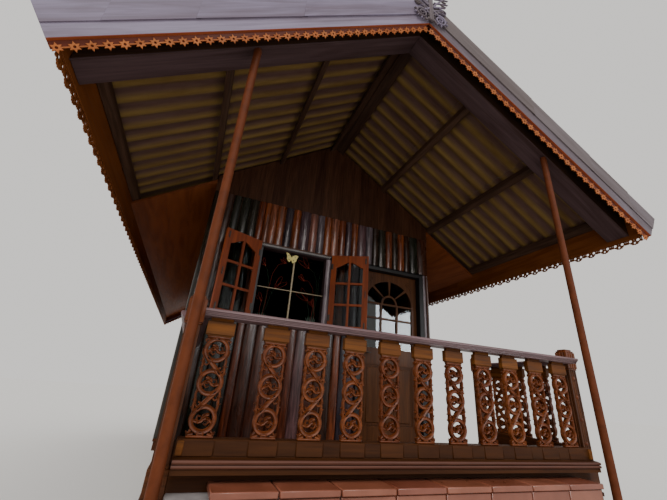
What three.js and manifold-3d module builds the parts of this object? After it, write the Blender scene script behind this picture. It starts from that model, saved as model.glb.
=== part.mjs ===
// Timber veranda bungalow, millimetres, Z up, front facing -Y, ridge along Y.
import * as THREE from 'three';
import Module from 'manifold-3d';

const wasm = await Module();
wasm.setup();

// Clearance between pieces that touch
const GAP = 0.3;

// Levels above the ground
const FLOOR_TOP = 900;
const FLOOR_BOTTOM = 800;
const LINTEL_BOTTOM = 3050;
const LINTEL_TOP = 3113;
const WALL_TOP = 3706;
const RIDGE_TOP = 5061;

// House body
const HALF_WIDTH = 1630;
const WALL_THICKNESS = 120;
const FRONT_WALL_Y = 2227;
const BACK_WALL_Y = 10600;
const FOUNDATION_HALF_WIDTH = 1540;
const FOUNDATION_THICKNESS = 120;
const LOG_WIDTH = 118;
const LOG_RELIEF = 36;

// Roof, with depths measured square to its surface
const SLOPE = 0.6616;
const SHEET_THICKNESS = 40;
const PURLIN_BOTTOM = 100;
const SOFFIT_BOTTOM = 135;
const RAFTER_BOTTOM = 262;
const SHEET_HALF_WIDTH = 2600;
const SHEET_FRONT_Y = -197;
const ROOF_BACK_Y = 10930;
const PURLIN_LINES = [[800, 860], [1635, 1695], [2430, 2490]];
const RIDGE_BEAM_HALF = 110;
const RAFTER_FRONT_Y = -62;
const RAFTER_BACK_Y = 165;
const BARGE_TIP_X = 2700;
const BARGE_TOP_RISE = 12;
const BARGE_LAP = 165;
const BARGE_BOTTOM = 272;
const FRETWORK_BOTTOM = 300;
const FRETWORK_SET_BACK = 37;
const FASCIA_INNER_X = 2493;
const FASCIA_OUTER_X = 2518;
const FASCIA_BOTTOM = 3064;
const EAVE_FRETWORK_BOTTOM = 2995;
const RIDGE_CAP_HALF = 150;
const RIDGE_CAP_THICKNESS = 8;

// Veranda
const POST_X = 1479;
const POST_Y = -29;
const POST_RADIUS = 30;
const RAIL_HALF_WIDTH = 1429;
const BASE_RAIL_TOP = 1178;
const HANDRAIL_BOTTOM = 1765;
const HANDRAIL_TOP = 1804;
const NEWEL_WIDTH = 100;
const NEWEL_TOP = 1885;
const RAIL_BACK_Y = 160;
const BALUSTER_PITCH = 253.2;
const BALUSTER_COUNT = 10;
const FIRST_BALUSTER_X = -1009;
const NEWEL_BALUSTER_X = -1328;
const BLOCK_WIDTH = 152;
const RIGHT_RAIL_END_Y = 1150;

// Plinth
const PLINTH_HALF_WIDTH = 1250;
const PLINTH_TOP = 1000;
const PLINTH_FRONT_Y = -115;
const PLINTH_BACK_Y = 99;
const LEDGE_TOP = 955;
const LEDGE_RIGHT_X = -560;
const LEDGE_DEPTH = 60;

// Window
const WINDOW_LEFT = -945;
const WINDOW_RIGHT = 50;
const WINDOW_SILL = 2095;
const CASING_WIDTH = 50;
const RIGHT_CASING_WIDTH = 80;
const CASING_FRONT = 30;
const BAR_LEVEL = 2548;
const UPRIGHT_TOP = 2925;
const WING_OFFSET = 42;
const SASH_WIDTH = 500;
const SASH_HEIGHT = 1000;
const SASH_DEPTH = 35;
const SASH_TOP = 3108;
const SASH_STILE = 72;
const SASH_BAR = 28;
const SASH_FOOT = 63;
const SASH_PANE_HEIGHT = 253;
const SASH_SPRING_LINE = 825;
const SASH_PEAK = 907;
const LEFT_SASH_OPEN_DEG = 154;
const RIGHT_SASH_OPEN_DEG = 152;

// Door
const DOOR_LEFT = 550;
const DOOR_RIGHT = 1452;
const DOOR_JAMB = 70;
const DOOR_CLEARANCE = 5.5;
const DOOR_THICKNESS = 40;
const DOOR_STILE = 78;
const DOOR_GLASS_BOTTOM = 1992;
const DOOR_SPRING_LINE = 2605;
const DOOR_ARCH_RISE = 330;
const HINGE_X = DOOR_RIGHT - DOOR_CLEARANCE / 2;
const HINGE_Y = FRONT_WALL_Y + WALL_THICKNESS + 7;
const HINGE_RADIUS = 5;
const HINGE_HALF = 50;
const HINGE_LEVELS = [1100, 1950, 2800];

const slopeCos = Math.cos(Math.atan(SLOPE));

// Height of a line parallel to the roof surface, at a distance under it
function roofHeight(x, under) {
  return RIDGE_TOP - SLOPE * Math.abs(x) - under / slopeCos;
}

// Conversions between geometry and solid
function toSolid(geometry) {
  const plain = geometry.clone();
  plain.deleteAttribute('normal');
  plain.deleteAttribute('uv');
  const positions = plain.attributes.position.array;
  const lookup = new Map();
  const vertices = [];
  const corners = [];
  const count = plain.index ? plain.index.count : positions.length / 3;
  for (let i = 0; i < count; i += 1) {
    const source = plain.index ? plain.index.array[i] : i;
    const point = [0, 1, 2].map((axis) => positions[source * 3 + axis]);
    const key = point.map((value) => Math.round(value * 1e4)).join(',');
    if (!lookup.has(key)) {
      lookup.set(key, vertices.length / 3);
      vertices.push(...point);
    }
    corners.push(lookup.get(key));
  }
  const triangles = [];
  for (let i = 0; i < corners.length; i += 3) {
    const [a, b, c] = [corners[i], corners[i + 1], corners[i + 2]];
    if (a !== b && b !== c && a !== c) {
      triangles.push(a, b, c);
    }
  }
  return new wasm.Manifold(new wasm.Mesh({
    numProp: 3,
    vertProperties: new Float32Array(vertices),
    triVerts: new Uint32Array(triangles),
  }));
}

function toGeometry(solid) {
  const mesh = solid.getMesh();
  const geometry = new THREE.BufferGeometry();
  geometry.setAttribute('position', new THREE.BufferAttribute(Float32Array.from(mesh.vertProperties), 3));
  geometry.setIndex(new THREE.BufferAttribute(Uint32Array.from(mesh.triVerts), 1));
  geometry.computeVertexNormals();
  return geometry;
}

// Basic solids
function box(x0, x1, y0, y1, z0, z1) {
  const geometry = new THREE.BoxGeometry(x1 - x0, y1 - y0, z1 - z0);
  geometry.translate((x0 + x1) / 2, (y0 + y1) / 2, (z0 + z1) / 2);
  return toSolid(geometry);
}

function extruded(points, depth, basis) {
  const shape = new THREE.Shape(points.map(([a, b]) => new THREE.Vector2(a, b)));
  const geometry = new THREE.ExtrudeGeometry(shape, { depth, bevelEnabled: false });
  geometry.applyMatrix4(basis);
  return toSolid(geometry);
}

// Outline in X and Z, carried from y0 to y1
function alongY(points, y0, y1) {
  const basis = new THREE.Matrix4().makeBasis(
    new THREE.Vector3(1, 0, 0), new THREE.Vector3(0, 0, 1), new THREE.Vector3(0, -1, 0));
  basis.setPosition(0, y1, 0);
  return extruded(points, y1 - y0, basis);
}

// Outline in Y and Z, carried from x0 to x1
function alongX(points, x0, x1) {
  const basis = new THREE.Matrix4().makeBasis(
    new THREE.Vector3(0, 1, 0), new THREE.Vector3(0, 0, 1), new THREE.Vector3(1, 0, 0));
  basis.setPosition(x0, 0, 0);
  return extruded(points, x1 - x0, basis);
}

// Outline in X and Y, carried from z0 to z1
function upright(points, z0, z1) {
  return extruded(points, z1 - z0, new THREE.Matrix4().makeTranslation(0, 0, z0));
}

function union(solids) {
  return solids.reduce((sum, solid) => sum.add(solid));
}

function mirrorX(solid) {
  return solid.mirror([1, 0, 0]);
}

// Strip of roof between two depths under the surface, with upright sides
function roofStrip(x0, x1, y0, y1, upper, lower) {
  return alongY([
    [x0, roofHeight(x0, lower)],
    [x1, roofHeight(x1, lower)],
    [x1, roofHeight(x1, upper)],
    [x0, roofHeight(x0, upper)],
  ], y0, y1);
}

const house = new THREE.Group();

function place(name, solid, color, roughness, metalness = 0) {
  const material = new THREE.MeshStandardMaterial({ color, roughness, metalness });
  const mesh = new THREE.Mesh(toGeometry(solid), material);
  mesh.name = name;
  house.add(mesh);
  return solid;
}

const TILE = '#b5706a';
const MASONRY = '#8c8076';
const VARNISH = '#7a4426';
const LOGS = '#6b3a22';
const TRIM = '#8a6a62';
const DARK = '#2a1c14';
const PIPE = '#7d3f36';
const SHEET = '#7a7340';
const FRET = '#b0622f';
const SASH = '#a9632c';
const GLASS = '#9fb2b6';

// Foundation, plinth and floors
function foundation() {
  const side = box(FOUNDATION_HALF_WIDTH - FOUNDATION_THICKNESS, FOUNDATION_HALF_WIDTH,
    100, BACK_WALL_Y, 0, FLOOR_BOTTOM - GAP);
  place('foundation_right_wall', side, MASONRY, 0.9);
  place('foundation_left_wall', mirrorX(side), MASONRY, 0.9);
  const inner = FOUNDATION_HALF_WIDTH - FOUNDATION_THICKNESS - GAP;
  place('foundation_back_wall', box(-inner, inner, BACK_WALL_Y - FOUNDATION_THICKNESS,
    BACK_WALL_Y, 0, FLOOR_BOTTOM - GAP), MASONRY, 0.9);
  const block = box(-PLINTH_HALF_WIDTH, PLINTH_HALF_WIDTH, PLINTH_FRONT_Y, PLINTH_BACK_Y, 0, PLINTH_TOP);
  const ledge = box(-RAIL_HALF_WIDTH, LEDGE_RIGHT_X, PLINTH_FRONT_Y - LEDGE_DEPTH, PLINTH_FRONT_Y + 40,
    0, LEDGE_TOP);
  place('tiled_plinth', block.add(ledge), TILE, 0.5);
  const jointY = FRONT_WALL_Y - GAP;
  place('veranda_deck', box(-FOUNDATION_HALF_WIDTH, FOUNDATION_HALF_WIDTH, 100, jointY,
    FLOOR_BOTTOM, FLOOR_TOP), VARNISH, 0.6);
  place('room_floor', box(-HALF_WIDTH, HALF_WIDTH, FRONT_WALL_Y, BACK_WALL_Y,
    FLOOR_BOTTOM, FLOOR_TOP), VARNISH, 0.6);
}

// Plan of a wall with half logs on its outer face, as pairs of length and depth from the crests
function logPlan(length, fewest = 1) {
  const count = Math.max(fewest, Math.round(length / LOG_WIDTH));
  const shares = Array.from({ length: count }, (_, i) => 1 + 0.2 * Math.sin(2.4 * i + 1));
  const total = shares.reduce((sum, share) => sum + share);
  const plan = [[0, WALL_THICKNESS], [0, LOG_RELIEF]];
  let start = 0;
  shares.forEach((share) => {
    const width = length * share / total;
    plan.push([start + 0.15 * width, 0.3 * LOG_RELIEF], [start + 0.5 * width, 0]);
    plan.push([start + 0.85 * width, 0.3 * LOG_RELIEF]);
    start += width;
    plan.push([Math.min(start, length), LOG_RELIEF]);
  });
  plan.push([length, WALL_THICKNESS]);
  return plan;
}

// Walls with the door and window left open
function walls() {
  const base = FLOOR_TOP + GAP;
  const back = FRONT_WALL_Y + WALL_THICKNESS;
  const panel = (x0, x1, z0, z1, fewest) => upright(
    logPlan(x1 - x0, fewest).map(([along, depth]) => [x0 + along, FRONT_WALL_Y + depth]), z0, z1);
  place('front_wall_left', panel(-HALF_WIDTH, WINDOW_LEFT - GAP, base, WALL_TOP), LOGS, 0.3);
  place('front_wall_under_window', panel(WINDOW_LEFT, WINDOW_RIGHT, base, WINDOW_SILL - GAP), LOGS, 0.3);
  place('front_wall_middle', panel(WINDOW_RIGHT + GAP, DOOR_LEFT - DOOR_JAMB - GAP, base, LINTEL_TOP - GAP),
    LOGS, 0.3);
  place('front_wall_right', panel(DOOR_RIGHT + DOOR_JAMB + GAP, HALF_WIDTH, base, LINTEL_TOP - GAP, 2),
    LOGS, 0.3);
  place('front_wall_top', panel(WINDOW_LEFT, HALF_WIDTH, LINTEL_TOP, WALL_TOP), LOGS, 0.3);
  const inner = HALF_WIDTH - WALL_THICKNESS;
  const sideFront = back + GAP;
  const sideBack = BACK_WALL_Y - WALL_THICKNESS - GAP;
  const underRoof = alongY([
    [inner - 1, base],
    [HALF_WIDTH + 1, base],
    [HALF_WIDTH + 1, roofHeight(HALF_WIDTH + 1, PURLIN_BOTTOM + GAP)],
    [inner - 1, roofHeight(inner - 1, PURLIN_BOTTOM + GAP)],
  ], sideFront - 1, sideBack + 1);
  const sidePlan = logPlan(sideBack - sideFront)
    .map(([along, depth]) => [HALF_WIDTH - depth, sideFront + along]);
  const side = upright(sidePlan, base - 1, RIDGE_TOP).intersect(underRoof);
  place('right_wall', side, LOGS, 0.35);
  place('left_wall', mirrorX(side), LOGS, 0.35);
  const backPlan = logPlan(2 * HALF_WIDTH)
    .map(([along, depth]) => [along - HALF_WIDTH, BACK_WALL_Y - depth]);
  place('back_wall', upright(backPlan, base, WALL_TOP), LOGS, 0.35);
}

// Purlins and ridge beam as solids, grown by a margin where they cut others
function purlin([x0, x1], margin) {
  return roofStrip(x0 - margin, x1 + margin, SHEET_FRONT_Y + 5, ROOF_BACK_Y - 5,
    SHEET_THICKNESS + GAP - margin, PURLIN_BOTTOM + margin);
}

function ridgeBeam(margin) {
  const half = RIDGE_BEAM_HALF + margin;
  const top = SHEET_THICKNESS + GAP - margin;
  const bottom = PURLIN_BOTTOM + margin;
  return alongY([
    [-half, roofHeight(half, bottom)],
    [0, roofHeight(0, bottom)],
    [half, roofHeight(half, bottom)],
    [half, roofHeight(half, top)],
    [0, roofHeight(0, top)],
    [-half, roofHeight(half, top)],
  ], SHEET_FRONT_Y + 5, ROOF_BACK_Y - 5);
}

function gablePanel(y0, y1) {
  const top = SHEET_THICKNESS + GAP;
  let panel = alongY([
    [-HALF_WIDTH, WALL_TOP + GAP],
    [HALF_WIDTH, WALL_TOP + GAP],
    [HALF_WIDTH, roofHeight(HALF_WIDTH, top)],
    [0, roofHeight(0, top)],
    [-HALF_WIDTH, roofHeight(HALF_WIDTH, top)],
  ], y0, y1);
  panel = panel.subtract(ridgeBeam(GAP));
  const cut = purlin(PURLIN_LINES[0], GAP);
  return panel.subtract(cut).subtract(mirrorX(cut));
}

// Board along the verge between two depths, with its lower end cut square to the slope
function vergeBoard(y0, y1, upper, lower) {
  const sine = SLOPE * slopeCos;
  const tipUnder = -BARGE_TOP_RISE;
  const endX = (under) => BARGE_TIP_X - (under - tipUnder) * sine;
  const at = (x, under) => [x, roofHeight(x, under)];
  return alongY([
    at(GAP / 2, lower),
    at(endX(lower), lower),
    at(endX(upper), upper),
    at(GAP / 2, upper),
  ], Math.min(y0, y1), Math.max(y0, y1));
}

// Two lapped boards, with fretwork hung behind them from a lath; y is the inner face
function bargeBoards(y, out) {
  return union([
    vergeBoard(y, y + out * 38, -BARGE_TOP_RISE, BARGE_LAP),
    vergeBoard(y, y + out * 24, BARGE_LAP - 10, BARGE_BOTTOM),
    vergeBoard(y + out * 2, y - out * FRETWORK_SET_BACK, PURLIN_BOTTOM + 5, PURLIN_BOTTOM + 45),
    vergeBoard(y - out * (FRETWORK_SET_BACK - 15), y - out * FRETWORK_SET_BACK,
      PURLIN_BOTTOM + 5, FRETWORK_BOTTOM),
  ]);
}

function roof() {
  const sheet = roofStrip(2, SHEET_HALF_WIDTH, SHEET_FRONT_Y, ROOF_BACK_Y, 0, SHEET_THICKNESS);
  place('right_roof_sheet', sheet, SHEET, 0.7, 0.2);
  place('left_roof_sheet', mirrorX(sheet), SHEET, 0.7, 0.2);
  const cap = RIDGE_CAP_HALF;
  place('ridge_cap', alongY([
    [-cap, roofHeight(cap, -GAP)],
    [0, roofHeight(0, -GAP)],
    [cap, roofHeight(cap, -GAP)],
    [cap, roofHeight(cap, -RIDGE_CAP_THICKNESS)],
    [0, roofHeight(0, -RIDGE_CAP_THICKNESS)],
    [-cap, roofHeight(cap, -RIDGE_CAP_THICKNESS)],
  ], SHEET_FRONT_Y + 1, ROOF_BACK_Y - 1), SHEET, 0.7, 0.2);
  place('ridge_beam', ridgeBeam(0), DARK, 0.7);
  const rafter = roofStrip(GAP / 2, PURLIN_LINES[2][1], RAFTER_FRONT_Y, RAFTER_BACK_Y,
    PURLIN_BOTTOM - 2, RAFTER_BOTTOM);
  const clearOfBeam = rafter.subtract(ridgeBeam(GAP));
  const frame = union([clearOfBeam, ...PURLIN_LINES.map((line) => purlin(line, 0))]);
  place('right_roof_frame', frame, DARK, 0.7);
  place('left_roof_frame', mirrorX(frame), DARK, 0.7);
  const frontBarge = bargeBoards(SHEET_FRONT_Y - GAP, -1);
  place('right_front_barge', frontBarge, TRIM, 0.45);
  place('left_front_barge', mirrorX(frontBarge), TRIM, 0.45);
  const backBarge = bargeBoards(ROOF_BACK_Y + GAP, 1);
  place('right_back_barge', backBarge, TRIM, 0.45);
  place('left_back_barge', mirrorX(backBarge), TRIM, 0.45);
  const eaveFront = SHEET_FRONT_Y + FRETWORK_SET_BACK + GAP;
  const eaveBack = ROOF_BACK_Y - FRETWORK_SET_BACK - GAP;
  const fasciaTop = roofHeight(FASCIA_OUTER_X, SHEET_THICKNESS + GAP);
  const fascia = union([
    box(FASCIA_INNER_X + GAP, FASCIA_OUTER_X, eaveFront, eaveBack, FASCIA_BOTTOM, fasciaTop),
    box(FASCIA_INNER_X + 6, FASCIA_INNER_X + 18, eaveFront, eaveBack,
      EAVE_FRETWORK_BOTTOM, FASCIA_BOTTOM + 10),
  ]);
  place('right_eave_fascia', fascia, FRET, 0.5);
  place('left_eave_fascia', mirrorX(fascia), FRET, 0.5);
  const soffit = roofStrip(HALF_WIDTH + GAP, FASCIA_INNER_X, FRONT_WALL_Y, eaveBack,
    PURLIN_BOTTOM + GAP, SOFFIT_BOTTOM);
  place('right_soffit', soffit, VARNISH, 0.4);
  place('left_soffit', mirrorX(soffit), VARNISH, 0.4);
  const inset = 20;
  place('front_gable_panel', gablePanel(FRONT_WALL_Y + inset, FRONT_WALL_Y + inset + 60), DARK, 0.6);
  place('back_gable_panel', gablePanel(BACK_WALL_Y - inset - 60, BACK_WALL_Y - inset), DARK, 0.6);
}

// Carved ornament standing in front of the barge boards at the peak
function gableOrnament() {
  const face = SHEET_FRONT_Y - 38 - 2 * GAP;
  const outline = [
    [0, -375], [85, -335], [165, -260], [190, -150], [150, -55], [215, 25], [240, 100], [190, 170],
    [75, 179], [0, 110],
  ].map(([x, rise]) => [x, RIDGE_TOP + rise]);
  const left = outline.slice(1, -1).reverse().map(([x, z]) => [-x, z]);
  place('gable_ornament', alongY([...outline, ...left], face - 25, face), TRIM, 0.4);
}

// Balustrades
function balusterPanel(center) {
  const half = BLOCK_WIDTH / 2;
  const neck = 52;
  const bulge = 68;
  const right = [
    [half - 20, BASE_RAIL_TOP - 1], [half - 20, 1190], [neck, 1205], [bulge, 1261], [neck, 1320],
    [neck, 1375], [bulge, 1437], [neck, 1500], [neck, 1540], [bulge, 1601], [half, 1655],
    [half, 1745], [half, HANDRAIL_BOTTOM - GAP],
  ];
  const left = right.slice().reverse().map(([x, z]) => [-x, z]);
  return [...right, ...left].map(([x, z]) => [x + center, z]);
}

function frontBalustrade() {
  const end = RAIL_HALF_WIDTH - GAP;
  const base = alongX([
    [PLINTH_BACK_Y + GAP, FLOOR_TOP + GAP], [RAIL_BACK_Y, FLOOR_TOP + GAP], [RAIL_BACK_Y, BASE_RAIL_TOP],
    [50, BASE_RAIL_TOP], [50, 1100], [0, 1098], [0, 1078], [8, 1074], [0, 1070], [0, 1052],
    [20, 1050], [20, 1035], [PLINTH_BACK_Y + GAP, 1035],
  ], -end, end);
  place('front_base_rail', base, VARNISH, 0.4);
  const panels = [];
  const centers = [NEWEL_BALUSTER_X];
  for (let i = 0; i < BALUSTER_COUNT; i += 1) {
    centers.push(FIRST_BALUSTER_X + i * BALUSTER_PITCH);
  }
  centers.forEach((center) => {
    const outline = balusterPanel(center).map(([x, z]) => [x, Math.max(z, BASE_RAIL_TOP + GAP)]);
    panels.push(alongY(outline, 75, 105));
  });
  const carrier = box(-end, end, 78, 102, BASE_RAIL_TOP + GAP, BASE_RAIL_TOP + 12);
  place('front_balusters', union([carrier, ...panels]), FRET, 0.5);
  place('front_handrail', alongX([
    [20, HANDRAIL_BOTTOM], [160, HANDRAIL_BOTTOM], [160, 1785], [170, HANDRAIL_TOP],
    [10, HANDRAIL_TOP], [10, 1785],
  ], -end, end), TRIM, 0.35);
}

function sideBalustrade(y0, y1) {
  const count = Math.floor((y1 - y0) / BALUSTER_PITCH);
  const middle = (y0 + y1) / 2;
  const panels = [];
  for (let i = 0; i < count; i += 1) {
    const center = middle + (i - (count - 1) / 2) * BALUSTER_PITCH;
    panels.push(alongX(balusterPanel(center), 1465, 1495));
  }
  return union([
    box(1440, 1520, y0, y1, FLOOR_TOP + GAP, BASE_RAIL_TOP),
    box(1400, 1560, y0, y1, HANDRAIL_BOTTOM - GAP, HANDRAIL_TOP),
    ...panels,
  ]);
}

function newel(x0, y0) {
  const cap = 8;
  return union([
    box(x0, x0 + NEWEL_WIDTH, y0, y0 + NEWEL_WIDTH, FLOOR_TOP + GAP, NEWEL_TOP - 30),
    box(x0 + cap, x0 + NEWEL_WIDTH - cap, y0 + cap, y0 + NEWEL_WIDTH - cap, NEWEL_TOP - 31, NEWEL_TOP),
  ]);
}

function veranda() {
  frontBalustrade();
  const front = 105;
  const back = front + NEWEL_WIDTH;
  const rightNewel = newel(RAIL_HALF_WIDTH, front);
  place('right_newel', rightNewel, VARNISH, 0.4);
  place('left_newel', mirrorX(rightNewel), VARNISH, 0.4);
  place('left_side_balustrade', mirrorX(sideBalustrade(back + GAP, FRONT_WALL_Y - GAP)), FRET, 0.5);
  const entryNewel = newel(RAIL_HALF_WIDTH, RIGHT_RAIL_END_Y - 1);
  place('right_side_balustrade', sideBalustrade(back + GAP, RIGHT_RAIL_END_Y).add(entryNewel), FRET, 0.5);
  const geometry = new THREE.CylinderGeometry(POST_RADIUS, POST_RADIUS, 4000, 32);
  geometry.rotateX(Math.PI / 2);
  geometry.translate(POST_X, POST_Y, 2000);
  const above = roofStrip(POST_X - 100, POST_X + 100, POST_Y - 100, POST_Y + 100,
    -500, RAFTER_BOTTOM + GAP);
  const post = toSolid(geometry).subtract(above);
  place('right_pipe_post', post, PIPE, 0.4, 0.3);
  place('left_pipe_post', mirrorX(post), PIPE, 0.4, 0.3);
}

// Window casing, cross bar and the two open sashes
function windowSet() {
  const front = FRONT_WALL_Y - CASING_FRONT;
  const outer = box(WINDOW_LEFT + GAP, WINDOW_RIGHT - GAP, FRONT_WALL_Y + 2, FRONT_WALL_Y + 100,
    WINDOW_SILL, LINTEL_TOP - GAP);
  const face = box(WINDOW_LEFT + GAP, WINDOW_RIGHT - GAP, front, FRONT_WALL_Y + 3,
    WINDOW_SILL, LINTEL_TOP - GAP);
  const hole = box(WINDOW_LEFT + CASING_WIDTH, WINDOW_RIGHT - RIGHT_CASING_WIDTH,
    front - 10, FRONT_WALL_Y + 110, WINDOW_SILL + 40, LINTEL_BOTTOM);
  place('window_frame', outer.add(face).subtract(hole), TRIM, 0.4);
  const left = WINDOW_LEFT + CASING_WIDTH + GAP;
  const right = WINDOW_RIGHT - RIGHT_CASING_WIDTH - GAP;
  const middle = (left + right) / 2;
  const bar = box(left, right, FRONT_WALL_Y + 20, FRONT_WALL_Y + 32, BAR_LEVEL - 6, BAR_LEVEL + 6);
  const upright = box(middle - 11, middle + 11, FRONT_WALL_Y + 15, FRONT_WALL_Y + 37,
    WINDOW_SILL + 40 + GAP, UPRIGHT_TOP);
  const wings = alongY([
    [0, -20], [26, -24], [44, -4], [40, 20], [66, 44], [78, 92], [62, 112], [26, 94], [0, 70],
    [-24, 98], [-60, 118], [-94, 104], [-92, 62], [-52, 28], [-58, 2], [-36, -14],
  ].map(([x, z]) => [middle - WING_OFFSET + x, UPRIGHT_TOP + z]), FRONT_WALL_Y + 22, FRONT_WALL_Y + 30);
  place('window_cross', union([bar, upright, wings]), '#c2a13c', 0.5);

  // A sash lies along +X from its hinge with its outer face to -Y
  const paneWidth = (SASH_WIDTH - 2 * SASH_STILE - SASH_BAR) / 2;
  const rowPitch = SASH_PANE_HEIGHT + SASH_BAR;
  let sash = box(0, SASH_WIDTH, 0, SASH_DEPTH, 0, SASH_HEIGHT);
  [SASH_STILE, SASH_STILE + paneWidth + SASH_BAR].forEach((x, column) => {
    [SASH_FOOT, SASH_FOOT + rowPitch].forEach((z) => {
      sash = sash.subtract(box(x, x + paneWidth, -1, SASH_DEPTH + 1, z, z + SASH_PANE_HEIGHT));
    });
    const [low, high] = column === 0 ? [SASH_SPRING_LINE, SASH_PEAK] : [SASH_PEAK, SASH_SPRING_LINE];
    sash = sash.subtract(alongY([
      [x, SASH_FOOT + 2 * rowPitch], [x + paneWidth, SASH_FOOT + 2 * rowPitch], [x + paneWidth, high],
      [x + paneWidth / 2, (low + high) / 2 + 12], [x, low],
    ], -1, SASH_DEPTH + 1));
  });
  const pocket = 8;
  sash = sash.subtract(box(SASH_STILE - pocket, SASH_WIDTH - SASH_STILE + pocket, 17, SASH_DEPTH + 1,
    SASH_FOOT - pocket, SASH_PEAK + pocket));
  const glass = box(SASH_STILE - pocket + GAP, SASH_WIDTH - SASH_STILE + pocket - GAP, 17 + GAP, 21 + GAP,
    SASH_FOOT - pocket + GAP, SASH_PEAK + pocket - GAP);
  const bottom = SASH_TOP - SASH_HEIGHT;
  const hang = (solid, hingeX, angle, mirrored) => {
    const turned = (mirrored ? mirrorX(solid) : solid).rotate([0, 0, angle]);
    return turned.translate([hingeX, 0, bottom]);
  };
  const seat = (sashSolid, glassSolid, sashName, glassName) => {
    const shift = front - GAP - sashSolid.boundingBox().max[1];
    place(sashName, sashSolid.translate([0, shift, 0]), SASH, 0.35);
    place(glassName, glassSolid.translate([0, shift, 0]), GLASS, 0.1);
  };
  const leftAngle = -LEFT_SASH_OPEN_DEG;
  const hingeInset = 5;
  const leftHinge = WINDOW_LEFT + hingeInset;
  const rightHinge = WINDOW_RIGHT - hingeInset;
  seat(hang(sash, leftHinge, leftAngle, false), hang(glass, leftHinge, leftAngle, false),
    'left_sash', 'left_sash_glass');
  const rightAngle = RIGHT_SASH_OPEN_DEG;
  seat(hang(sash, rightHinge, rightAngle, true), hang(glass, rightHinge, rightAngle, true),
    'right_sash', 'right_sash_glass');
}

// One half of each door hinge: a knuckle on the axis and the plate that carries it
function hingeHalves(z0, plateStart, plateEnd) {
  return union(HINGE_LEVELS.map((level) => {
    const knuckle = new THREE.CylinderGeometry(HINGE_RADIUS, HINGE_RADIUS, HINGE_HALF - GAP, 16);
    knuckle.rotateX(Math.PI / 2);
    knuckle.translate(HINGE_X, HINGE_Y, level + z0 + HINGE_HALF / 2);
    const wallFace = FRONT_WALL_Y + WALL_THICKNESS;
    const z = level + z0 + GAP / 2;
    const plate = box(Math.min(plateStart, plateEnd), Math.max(plateStart, plateEnd),
      wallFace - 1, wallFace + 3, z, z + HINGE_HALF - GAP);
    const web = box(Math.min(plateStart, HINGE_X), Math.max(plateStart, HINGE_X),
      wallFace + 0.5, HINGE_Y - 1, z, z + HINGE_HALF - GAP);
    return toSolid(knuckle).add(plate).add(web);
  }));
}

// Door frame and the leaf hinged on its right stile
function doorSet() {
  const back = FRONT_WALL_Y + WALL_THICKNESS;
  const front = FRONT_WALL_Y - 10;
  const outer = box(DOOR_LEFT - DOOR_JAMB, DOOR_RIGHT + DOOR_JAMB, front, back,
    FLOOR_TOP + GAP, LINTEL_TOP - GAP);
  const hole = box(DOOR_LEFT, DOOR_RIGHT, front - 10, back + 10, FLOOR_TOP, LINTEL_BOTTOM);
  const frameHinges = hingeHalves(0, DOOR_RIGHT + 1, DOOR_RIGHT + 25);
  place('door_frame', outer.subtract(hole).add(frameHinges), DARK, 0.4);

  const leafRight = DOOR_RIGHT - DOOR_CLEARANCE;
  const leafLeft = DOOR_LEFT + DOOR_CLEARANCE;
  const leafBottom = FLOOR_TOP + DOOR_CLEARANCE;
  const leafTop = LINTEL_BOTTOM - DOOR_CLEARANCE;
  const leafBack = back;
  const leafFront = back - DOOR_THICKNESS;
  let leaf = box(leafLeft, leafRight, leafFront, leafBack, leafBottom, leafTop);
  const columns = 3;
  const rows = 3;
  const bar = 22;
  const inner = leafRight - leafLeft - 2 * DOOR_STILE;
  const paneWidth = (inner - (columns - 1) * bar) / columns;
  const paneHeight = (DOOR_SPRING_LINE - bar - DOOR_GLASS_BOTTOM - (rows - 1) * bar) / rows;
  for (let column = 0; column < columns; column += 1) {
    for (let row = 0; row < rows; row += 1) {
      const x = leafLeft + DOOR_STILE + column * (paneWidth + bar);
      const z = DOOR_GLASS_BOTTOM + row * (paneHeight + bar);
      leaf = leaf.subtract(box(x, x + paneWidth, leafFront - 1, leafBack + 1, z, z + paneHeight));
    }
  }
  const middle = (leafLeft + leafRight) / 2;
  const arch = [];
  const steps = 16;
  for (let i = 0; i <= steps; i += 1) {
    const turn = Math.PI * i / steps;
    arch.push([middle + Math.cos(turn) * inner / 2, DOOR_SPRING_LINE + Math.sin(turn) * DOOR_ARCH_RISE]);
  }
  leaf = leaf.subtract(alongY(arch, leafFront - 1, leafBack + 1));
  const pocket = 10;
  leaf = leaf.subtract(box(leafLeft + DOOR_STILE - pocket, leafRight - DOOR_STILE + pocket,
    leafFront + 20, leafBack + 1, DOOR_GLASS_BOTTOM - pocket, DOOR_SPRING_LINE + DOOR_ARCH_RISE + pocket));
  const leafHinges = hingeHalves(HINGE_HALF, leafRight - 1, leafRight - 35);
  place('door_leaf', leaf.add(leafHinges), SASH, 0.3);
  place('door_glass', box(leafLeft + DOOR_STILE - pocket + GAP, leafRight - DOOR_STILE + pocket - GAP,
    leafFront + 20 + GAP, leafFront + 25, DOOR_GLASS_BOTTOM - pocket + GAP,
    DOOR_SPRING_LINE + DOOR_ARCH_RISE + pocket - GAP), GLASS, 0.1);
}

foundation();
walls();
roof();
gableOrnament();
veranda();
windowSet();
doorSet();

export default house;
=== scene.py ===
"""Timber veranda bungalow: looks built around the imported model. Metres, Z up, front facing -Y."""
import itertools
import math
import random

import bmesh
import bpy
from mathutils import Matrix, Vector, noise
from mathutils.geometry import tessellate_polygon


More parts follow.
